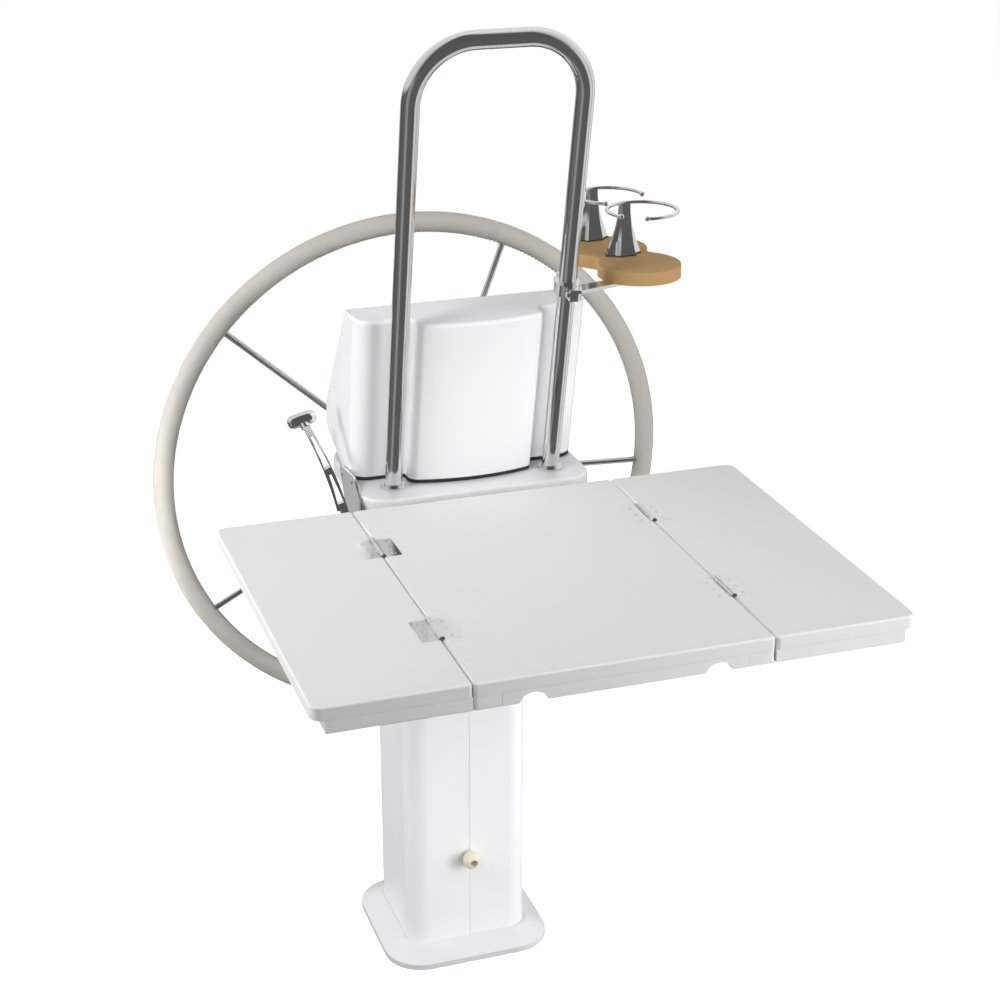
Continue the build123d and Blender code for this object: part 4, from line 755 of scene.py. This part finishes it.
def seam_bead(sizes):
    """Sealant in the seams at the column's front and back."""
    low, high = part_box("column_left_half")
    paths = []
    for y in (low[1] + BEAD_SINK, high[1] - BEAD_SINK):
        paths.append([Vector((0.0, y, z)) for z in (low[2], high[2])])
    return tube("column_seam_bead", paths, sizes.bead_radius, WIRE_SIDES, "white_gelcoat")


def bumper_ball(sizes):
    """Ball with a flat back and a counterbored screw hole."""
    radius = sizes.bumper_radius
    profile = [(0.0, -BUMPER_SEAT)]
    reach = sqrt(radius ** 2 - (BUMPER_HOLE + HOLE_LIP) ** 2) + BUMPER_SEAT
    for step in range(BALL_STEPS + 1):
        along = -BUMPER_SEAT + reach * step / BALL_STEPS
        profile.append((sqrt(radius ** 2 - along ** 2), along))
    lip = profile[-1][1]
    bottom = lip - BUMPER_HOLE_DEPTH
    profile += [(BUMPER_HOLE, lip - HOLE_LIP / 2), (BUMPER_HOLE, bottom), (0.0, bottom)]
    return spun(profile, BUMPER_CENTRE, BUMPER_OUT)


def knob(sizes):
    """Oval knob with full shoulders."""
    profile = []
    for step in range(KNOB_STEPS + 1):
        turned = pi * step / KNOB_STEPS
        across = abs(sin(turned)) ** (2 / KNOB_SHOULDER)
        along = abs(cos(turned)) ** (2 / KNOB_SHOULDER) * (1 if cos(turned) >= 0 else -1)
        profile.append((sizes.knob_radius * across, sizes.knob_half_length * along))
    return spun(profile, KNOB_CENTRE, KNOB_ALONG)


def post_section(sizes, share):
    """Plan of a cup post at a share of its height: flat face, coved flanks, flat back."""
    flare = (1 - share) ** FLARE_POWER
    half = (sizes.post_top + (sizes.post_foot - sizes.post_top) * flare) / 2
    face = min(FACE_TOP + FACE_FLARE * flare, half)
    front = FRONT_TOP + FRONT_FLARE * flare
    back = BACK_TOP + BACK_FLARE * flare
    cove = (face + half) / 2 * COVE_IN, front * COVE_FRONT
    right = [(face, front), cove, (half, 0.0), (half * BACK_TAPER, -back)]
    return right + [(-across, along) for across, along in reversed(right)]


def post_rings(sizes, lobe, shares, spread=1.0):
    """Plans of a cup post over its lobe, from (share of its height, level) rows."""
    foot = LOBES[lobe] - HOLDER_ALONG * POST_SETBACK
    rings = []
    for share, level in shares:
        plan = post_section(sizes, share)
        lift = Vector((0.0, 0.0, level))
        rings.append([foot + (HOLDER_ACROSS * u + HOLDER_ALONG * v) * spread + lift for u, v in plan])
    return rings


def cup_post(sizes, lobe):
    """Post with a flat bright face between coved flanks, flared at the foot."""
    foot, rise = BOARD_TOP + POST_PAD, sizes.post_height - POST_PAD
    shares = [step / POST_STEPS for step in range(POST_STEPS + 1)]
    return skinned(post_rings(sizes, lobe, [(share, foot + rise * share) for share in shares]))


def post_pad(sizes, lobe):
    """Thin rubber pad under a post."""
    shares = [(0.0, BOARD_TOP), (0.0, BOARD_TOP + POST_PAD)]
    return skinned(post_rings(sizes, lobe, shares, POST_PAD_OVERHANG))


def cup_ring(sizes, lobe):
    """Open wire ring with a ball on each end."""
    gap, half = [radians(value) for value in RING_GAPS[lobe]]
    centre = LOBES[lobe] + HOLDER_ALONG * (sizes.ring_radius - POST_SETBACK)
    centre.z += BOARD_TOP + sizes.post_height
    path = []
    for step in range(RING_STEPS + 1):
        turned = gap + half + (2 * pi - 2 * half) * step / RING_STEPS
        path.append(centre + Vector((cos(turned), sin(turned), 0.0)) * sizes.ring_radius)
    wire = tube(f"cup_ring_{lobe}", [path], sizes.ring_wire, WIRE_SIDES, "polished_steel")
    shape = bmesh.new()
    shape.from_mesh(wire)
    for end in (path[0], path[-1]):
        where = Matrix.Translation(end)
        bmesh.ops.create_uvsphere(
            shape, u_segments=WIRE_SIDES, v_segments=WIRE_SIDES, radius=sizes.ring_ball, matrix=where
        )
    return as_mesh(shape, f"cup_ring_{lobe}", "polished_steel")


def screw_head(radius, rise):
    """Low round head with a hexagon socket, standing on the origin."""
    socket = radius * SOCKET_SHARE
    plans = [(radius, -SCREW_SINK * rise, False), (radius, rise * SHOULDER_RISE, False)]
    plans += [(radius * CROWN_SHARE, rise, False)]
    plans += [(socket, rise, True), (socket, rise - SOCKET_DEPTH * rise, True)]
    rings = []
    for size, level, hexagon in plans:
        ring = []
        for step in range(SCREW_SIDES):
            turned = 2 * pi * step / SCREW_SIDES
            flat = cos(pi / 6) / cos(turned % (pi / 3) - pi / 6) if hexagon else 1.0
            ring.append(Vector((cos(turned) * size * flat, sin(turned) * size * flat, level)))
        rings.append(ring)
    return skinned(rings)


def facing(spots, out):
    """Rows of screws that all face one way."""
    return [(spot, out) for spot in spots]


def leaf_screws(side, reach):
    """Screws in the hinge plates on one side of a seam."""
    across = side * LEAF_SEAM_X + reach
    steps = (-LEAF_SCREW_STEP, 0.0, LEAF_SCREW_STEP)
    return facing([(across, middle + step, TABLE_TOP) for middle in LEAF_HINGES_Y for step in steps], UP)


def flange_screws():
    """Four screws in the shaft's flange."""
    reach = FLANGE_SCREW_CIRCLE
    turns = [pi / 4 + pi / 2 * quarter for quarter in range(4)]
    spots = [(reach * cos(a), FLANGE_FACE, SHAFT_LEVEL + reach * sin(a)) for a in turns]
    return facing(spots, (0.0, 1.0, 0.0))


def pod_screws(sizes):
    """Six screws round the pod's sloped aft plate, placed in the raked frame and turned upright."""
    lean = Matrix.Rotation(sizes.guard_rake, 3, "X")
    foot = Vector((0.0, GUARD_Y, GUARD_LEVEL)) / MM
    out = Vector((0.0, FACE_RUN.z, -FACE_RUN.y))
    spots = []
    for across, up in FACE_SCREWS:
        spot = FACE_MIDDLE + Vector((across, 0.0, 0.0)) + FACE_RUN * up + out * FACE_THICK
        spots.append(foot + lean @ spot)
    return facing(spots, lean @ out)


def screws(name, body, rows, rise):
    """Baked screw heads of one body, from (point in millimetres, outward) rows."""
    points = bpy.data.meshes.new("screw_places")
    points.from_pydata([Vector(spot) * MM for spot, out in rows], [], [])
    outward = points.attributes.new("outward", "FLOAT_VECTOR", "POINT")
    outward.data.foreach_set("vector", [value for spot, out in rows for value in out])
    shape = screw_head(bpy.context.scene.helm_sizes.screw_radius, rise)
    head = bpy.data.objects.new("head", as_mesh(shape, "head", "polished_steel"))
    bpy.context.scene.collection.objects.link(head)
    inputs = {"Head": head, "Finish": bpy.data.materials["polished_steel"]}
    mesh = baked(name, points, screw_tree(), inputs)
    mesh.set_sharp_from_angle(angle=SHARP_ANGLE)
    bpy.data.objects.remove(head)
    put(name, mesh, body, "polished_steel")


class HELM_OT_finishes(bpy.types.Operator):
    """Mix the procedural finishes"""

    bl_idname = "helm.finishes"
    bl_label = "Finishes"

    def execute(self, context):
        mix_finishes(context.scene.helm_finishes)
        return {"FINISHED"}


class HELM_OT_column(bpy.types.Operator):
    """Finish the column, its base and the bumper ball"""

    bl_idname = "helm.column"
    bl_label = "Column and base"

    def execute(self, context):
        sizes = context.scene.helm_sizes
        smoothed("white_gelcoat", "column_left_half", "column_right_half")
        eased("painted_casting", sizes.base_ease, "base_flange")
        put("column_seam_bead", seam_bead(sizes), body_of("column_left_half"), "white_gelcoat")
        built("column_bumper_ball", bumper_ball(sizes), "cream_nylon", "column_bumper")
        return {"FINISHED"}


class HELM_OT_head(bpy.types.Operator):
    """Finish the head, its plate and the instrument pod"""

    bl_idname = "helm.head"
    bl_label = "Head and pod"

    def execute(self, context):
        sizes = context.scene.helm_sizes
        smoothed("painted_casting", "head_housing", "head_plate")
        smoothed("white_gelcoat", "pod_housing")
        eased("white_gelcoat", sizes.plate_ease, "pod_face")
        smoothed("black_rubber", "pod_gasket")
        eased("machined_steel", sizes.hardware_ease, "shaft_housing")
        dressed("machined_steel", "shaft_bearing_front", "shaft_bearing_rear")
        return {"FINISHED"}


class HELM_OT_guard(bpy.types.Operator):
    """Bend the guard loop and turn its foot rings"""

    bl_idname = "helm.guard"
    bl_label = "Guard loop"

    def execute(self, context):
        sizes = context.scene.helm_sizes
        loop = tube("guard_loop", [guard_path(sizes)], sizes.guard_radius, TUBE_SIDES, "polished_steel")
        put("guard_loop", loop, body_of("guard_rail"), "polished_steel", "guard_rail")
        for side, word in ((-1, "left"), (1, "right")):
            built(f"guard_ring_{word}", foot_ring(sizes, side), "polished_steel", f"guard_foot_{word}")
        return {"FINISHED"}


class HELM_OT_wheel(bpy.types.Operator):
    """Sew the rim cover and finish the spokes, hub and shaft"""

    bl_idname = "helm.wheel"
    bl_label = "Wheel"

    def execute(self, context):
        sizes = context.scene.helm_sizes
        built("sewn_rim_cover", suede_cover(sizes), "suede_cover", "rim_cover")
        put("rim_stitches", cover_stitches(sizes), body_of("rim_cover"), "suede_cover")
        rods = tube("spoke_rods", spoke_paths(sizes), sizes.spoke_radius, SPOKE_SIDES, "polished_steel")
        put("spoke_rods", rods, body_of("wheel_spokes"), "polished_steel", "wheel_spokes")
        smoothed("polished_steel", "wheel_hub")
        eased("polished_steel", sizes.hardware_ease, "hub_nut")
        dressed("polished_steel", "wheel_rim")
        dressed("machined_steel", "wheel_shaft", "chain_sprocket", "sprocket_nut")
        return {"FINISHED"}


class HELM_OT_throttle(bpy.types.Operator):
    """Finish the throttle lever, its knob and its side plate"""

    bl_idname = "helm.throttle"
    bl_label = "Throttle"

    def execute(self, context):
        sizes = context.scene.helm_sizes
        eased("polished_steel", sizes.hardware_ease, "throttle_arm", "throttle_pivot", "control_plate")
        built("oval_knob", knob(sizes), "polished_steel", "throttle_knob")
        return {"FINISHED"}


class HELM_OT_table(bpy.types.Operator):
    """Finish the table's boards, rails, hinges and strut"""

    bl_idname = "helm.table"
    bl_label = "Folding table"

    def execute(self, context):
        sizes = context.scene.helm_sizes
        boards = slabs("table_board", sizes.board_ease, "centre_slab", "left_leaf_slab", "right_leaf_slab")
        boards += rails("table_board", sizes.rail_corner, sizes.board_ease, *CENTRE_RAILS)
        boards += smoothed("table_board", "left_leaf_rails", "right_leaf_rails")
        for board in boards:
            board.visible_glossy = False
        plates = ("leaf_hinge_fixed_plates", "left_leaf_hinge_plates", "right_leaf_hinge_plates")
        smoothed("polished_steel", *plates, "leaf_hinge_pins")
        hinge = ("table_hinge_bracket", "table_hinge_pin_left", "table_hinge_pin_right")
        arms = ("table_arm_left", "table_arm_right")
        strut = ("strut_bracket", "strut_pin", "strut_tube", "strut_socket")
        eased("machined_steel", sizes.hardware_ease, *hinge, *arms, *strut)
        eased("black_rubber", sizes.hardware_ease, "strut_foot")
        return {"FINISHED"}


class HELM_OT_holder(bpy.types.Operator):
    """Finish the drink holder and its clamp"""

    bl_idname = "helm.holder"
    bl_label = "Drink holder"

    def execute(self, context):
        sizes = context.scene.helm_sizes
        smoothed("teak", "drink_board")
        clamp = ("guard_clamp_body", "guard_clamp_cap", "guard_clamp_bolts")
        eased("polished_steel", sizes.hardware_ease, *clamp)
        for lobe in LOBES:
            body = body_of(f"cup_post_{lobe}")
            built(f"coved_post_{lobe}", cup_post(sizes, lobe), "polished_steel", f"cup_post_{lobe}")
            pad = as_mesh(post_pad(sizes, lobe), f"post_pad_{lobe}", "black_rubber")
            put(f"post_pad_{lobe}", pad, body, "black_rubber")
            put(f"wire_ring_{lobe}", cup_ring(sizes, lobe), body, "polished_steel", f"cup_ring_{lobe}")
        return {"FINISHED"}


class HELM_OT_screws(bpy.types.Operator):
    """Drive the screws of the hinges, brackets and cover plates"""

    bl_idname = "helm.screws"
    bl_label = "Screws"

    def execute(self, context):
        ahead, under, left = (0.0, -1.0, 0.0), (0.0, 0.0, -1.0), (-1.0, 0.0, 0.0)
        sizes = context.scene.helm_sizes
        fixed = facing(BRACKET_SCREWS + SOCKET_SCREWS, ahead) + facing(CONTROL_SCREWS, left)
        fixed += flange_screws() + pod_screws(sizes)
        screws("pedestal_screws", body_of("head_housing"), fixed, sizes.screw_rise)
        screws("table_screws", "table", facing(STRUT_SCREWS + ARM_SCREWS, under), sizes.screw_rise)
        inner = leaf_screws(-1, LEAF_SCREW_REACH) + leaf_screws(1, -LEAF_SCREW_REACH)
        sunk = sizes.hinge_screw_rise
        screws("centre_hinge_screws", "table", inner, sunk)
        screws("left_leaf_screws", "left_leaf", leaf_screws(-1, -LEAF_SCREW_REACH), sunk)
        screws("right_leaf_screws", "right_leaf", leaf_screws(1, LEAF_SCREW_REACH), sunk)
        return {"FINISHED"}


def pale_floor():
    """Plain matt floor, with a little light of its own so that it stays white far away."""
    made = bpy.data.materials.new("pale_floor")
    made.use_nodes = True
    shader = made.node_tree.nodes["Principled BSDF"]
    tint = shaded(linear(FLOOR_TINT), 1.0)
    looks = {"Base Color": tint, "Roughness": 1.0, "Specular IOR Level": 0.0}
    looks.update({"Emission Color": tint, "Emission Strength": FLOOR_GLOW})
    for name, value in looks.items():
        shader.inputs[name].default_value = value
    mesh = bpy.data.meshes.new("floor")
    far = FLOOR_HALF
    mesh.from_pydata([(-far, -far, 0), (far, -far, 0), (far, far, 0), (-far, far, 0)], [], [(0, 1, 2, 3)])
    mesh.materials.append(made)
    floor = bpy.data.objects.new("floor", mesh)
    bpy.context.scene.collection.objects.link(floor)
    floor.visible_diffuse = False
    floor.visible_glossy = False


def grey_ramp(tree, share, stops):
    """Grey level along a share, from (place, level) stops."""
    ramp = add(tree, "ShaderNodeValToRGB", {"Fac": share})
    while len(ramp.color_ramp.elements) < len(stops):
        ramp.color_ramp.elements.new(1.0)
    for element, (place, level) in zip(ramp.color_ramp.elements, stops):
        element.position = place
        element.color = (level, level, level, 1.0)
    return ramp.outputs["Color"]


def studio_world(scene):
    """White to the camera, a soft sky to the paint, and strips and dark walls to the mirrors."""
    world = bpy.data.worlds.new("studio")
    world.use_nodes = True
    tree = world.node_tree
    tree.nodes.clear()
    way = add(tree, "ShaderNodeTexCoord").outputs["Generated"]
    height = add(tree, "ShaderNodeSeparateXYZ", {0: way}).outputs["Z"]
    whole = {"Value": height, "From Min": -1.0, "From Max": 1.0}
    share = add(tree, "ShaderNodeMapRange", whole).outputs["Result"]
    over = {"Value": height, "From Min": -HORIZON, "From Max": HORIZON}
    above = add(tree, "ShaderNodeMapRange", over).outputs["Result"]
    turn_share = add(tree, "ShaderNodeTexGradient", {"Vector": way}, gradient_type="RADIAL").outputs["Fac"]
    low, high = [grey_ramp(tree, turn_share, walls) for walls in (LOW_WALLS, HIGH_WALLS)]
    room = add(tree, "ShaderNodeMix", {"Factor": above, "A": low, "B": high}).outputs["Result"]
    soft = grey_ramp(tree, share, tuple(zip(SKY_STOPS, SOFT_SKY)))
    white = add(tree, "ShaderNodeBackground", {"Color": (1.0, 1.0, 1.0, 1.0)}).outputs["Background"]
    path = add(tree, "ShaderNodeLightPath").outputs
    skies = [add(tree, "ShaderNodeBackground", {"Color": sky}).outputs["Background"] for sky in (soft, room)]
    lights = {0: path["Is Glossy Ray"], 1: skies[0], 2: skies[1]}
    lit = add(tree, "ShaderNodeMixShader", lights).outputs["Shader"]
    straight = {0: path["Is Camera Ray"], 1: path["Is Transmission Ray"]}
    shown = add(tree, "ShaderNodeMath", straight, operation="MAXIMUM").outputs["Value"]
    seen = {0: shown, 1: lit, 2: white}
    add(tree, "ShaderNodeOutputWorld", {"Surface": add(tree, "ShaderNodeMixShader", seen).outputs["Shader"]})
    scene.world = world


class HELM_OT_studio(bpy.types.Operator):
    """Set the floor, lamps and camera"""

    bl_idname = "helm.studio"
    bl_label = "Studio"

    def execute(self, context):
        scene = context.scene
        scene.view_settings.view_transform = "Standard"
        studio_world(scene)
        pale_floor()
        for name, place, target, size, power, spread in LAMPS:
            light = bpy.data.lights.new(name, "AREA")
            light.size = size
            light.energy = power
            light.spread = spread
            lamp = bpy.data.objects.new(name, light)
            lamp.location = place
            lamp.rotation_euler = (Vector(target) - Vector(place)).to_track_quat("-Z", "Y").to_euler()
            lamp.visible_camera = False
            lamp.visible_glossy = False
            scene.collection.objects.link(lamp)
        lens = bpy.data.cameras.new("camera")
        lens.lens = CAMERA_LENS
        lens.sensor_width = CAMERA_SENSOR
        camera = bpy.data.objects.new("camera", lens)
        camera.location = CAMERA_PLACE
        camera.rotation_euler = CAMERA_TURN
        scene.collection.objects.link(camera)
        scene.camera = camera
        return {"FINISHED"}


STEPS = (
    HELM_OT_finishes, HELM_OT_column, HELM_OT_head, HELM_OT_guard, HELM_OT_wheel,
    HELM_OT_throttle, HELM_OT_table, HELM_OT_holder, HELM_OT_screws, HELM_OT_studio,
)


class HELM_PT_panel(bpy.types.Panel):
    """Steps of the helm pedestal, in order"""

    bl_idname = "HELM_PT_panel"
    bl_label = "Helm pedestal"
    bl_space_type = "VIEW_3D"
    bl_region_type = "UI"
    bl_category = "Helm"

    def draw(self, context):
        for step in STEPS:
            self.layout.operator(step.bl_idname)


CLASSES = (HelmSizes, HelmFinishes, *STEPS, HELM_PT_panel)


def register():
    for each in CLASSES:
        bpy.utils.register_class(each)
    bpy.types.Scene.helm_sizes = bpy.props.PointerProperty(type=HelmSizes)
    bpy.types.Scene.helm_finishes = bpy.props.PointerProperty(type=HelmFinishes)


def unregister():
    del bpy.types.Scene.helm_finishes
    del bpy.types.Scene.helm_sizes
    for each in reversed(CLASSES):
        bpy.utils.unregister_class(each)


def main():
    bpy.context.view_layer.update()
    register()
    bpy.ops.helm.finishes()
    bpy.ops.helm.column()
    bpy.ops.helm.head()
    bpy.ops.helm.guard()
    bpy.ops.helm.wheel()
    bpy.ops.helm.throttle()
    bpy.ops.helm.table()
    bpy.ops.helm.holder()
    bpy.ops.helm.screws()
    bpy.ops.helm.studio()


if __name__ == "__main__":
    main()
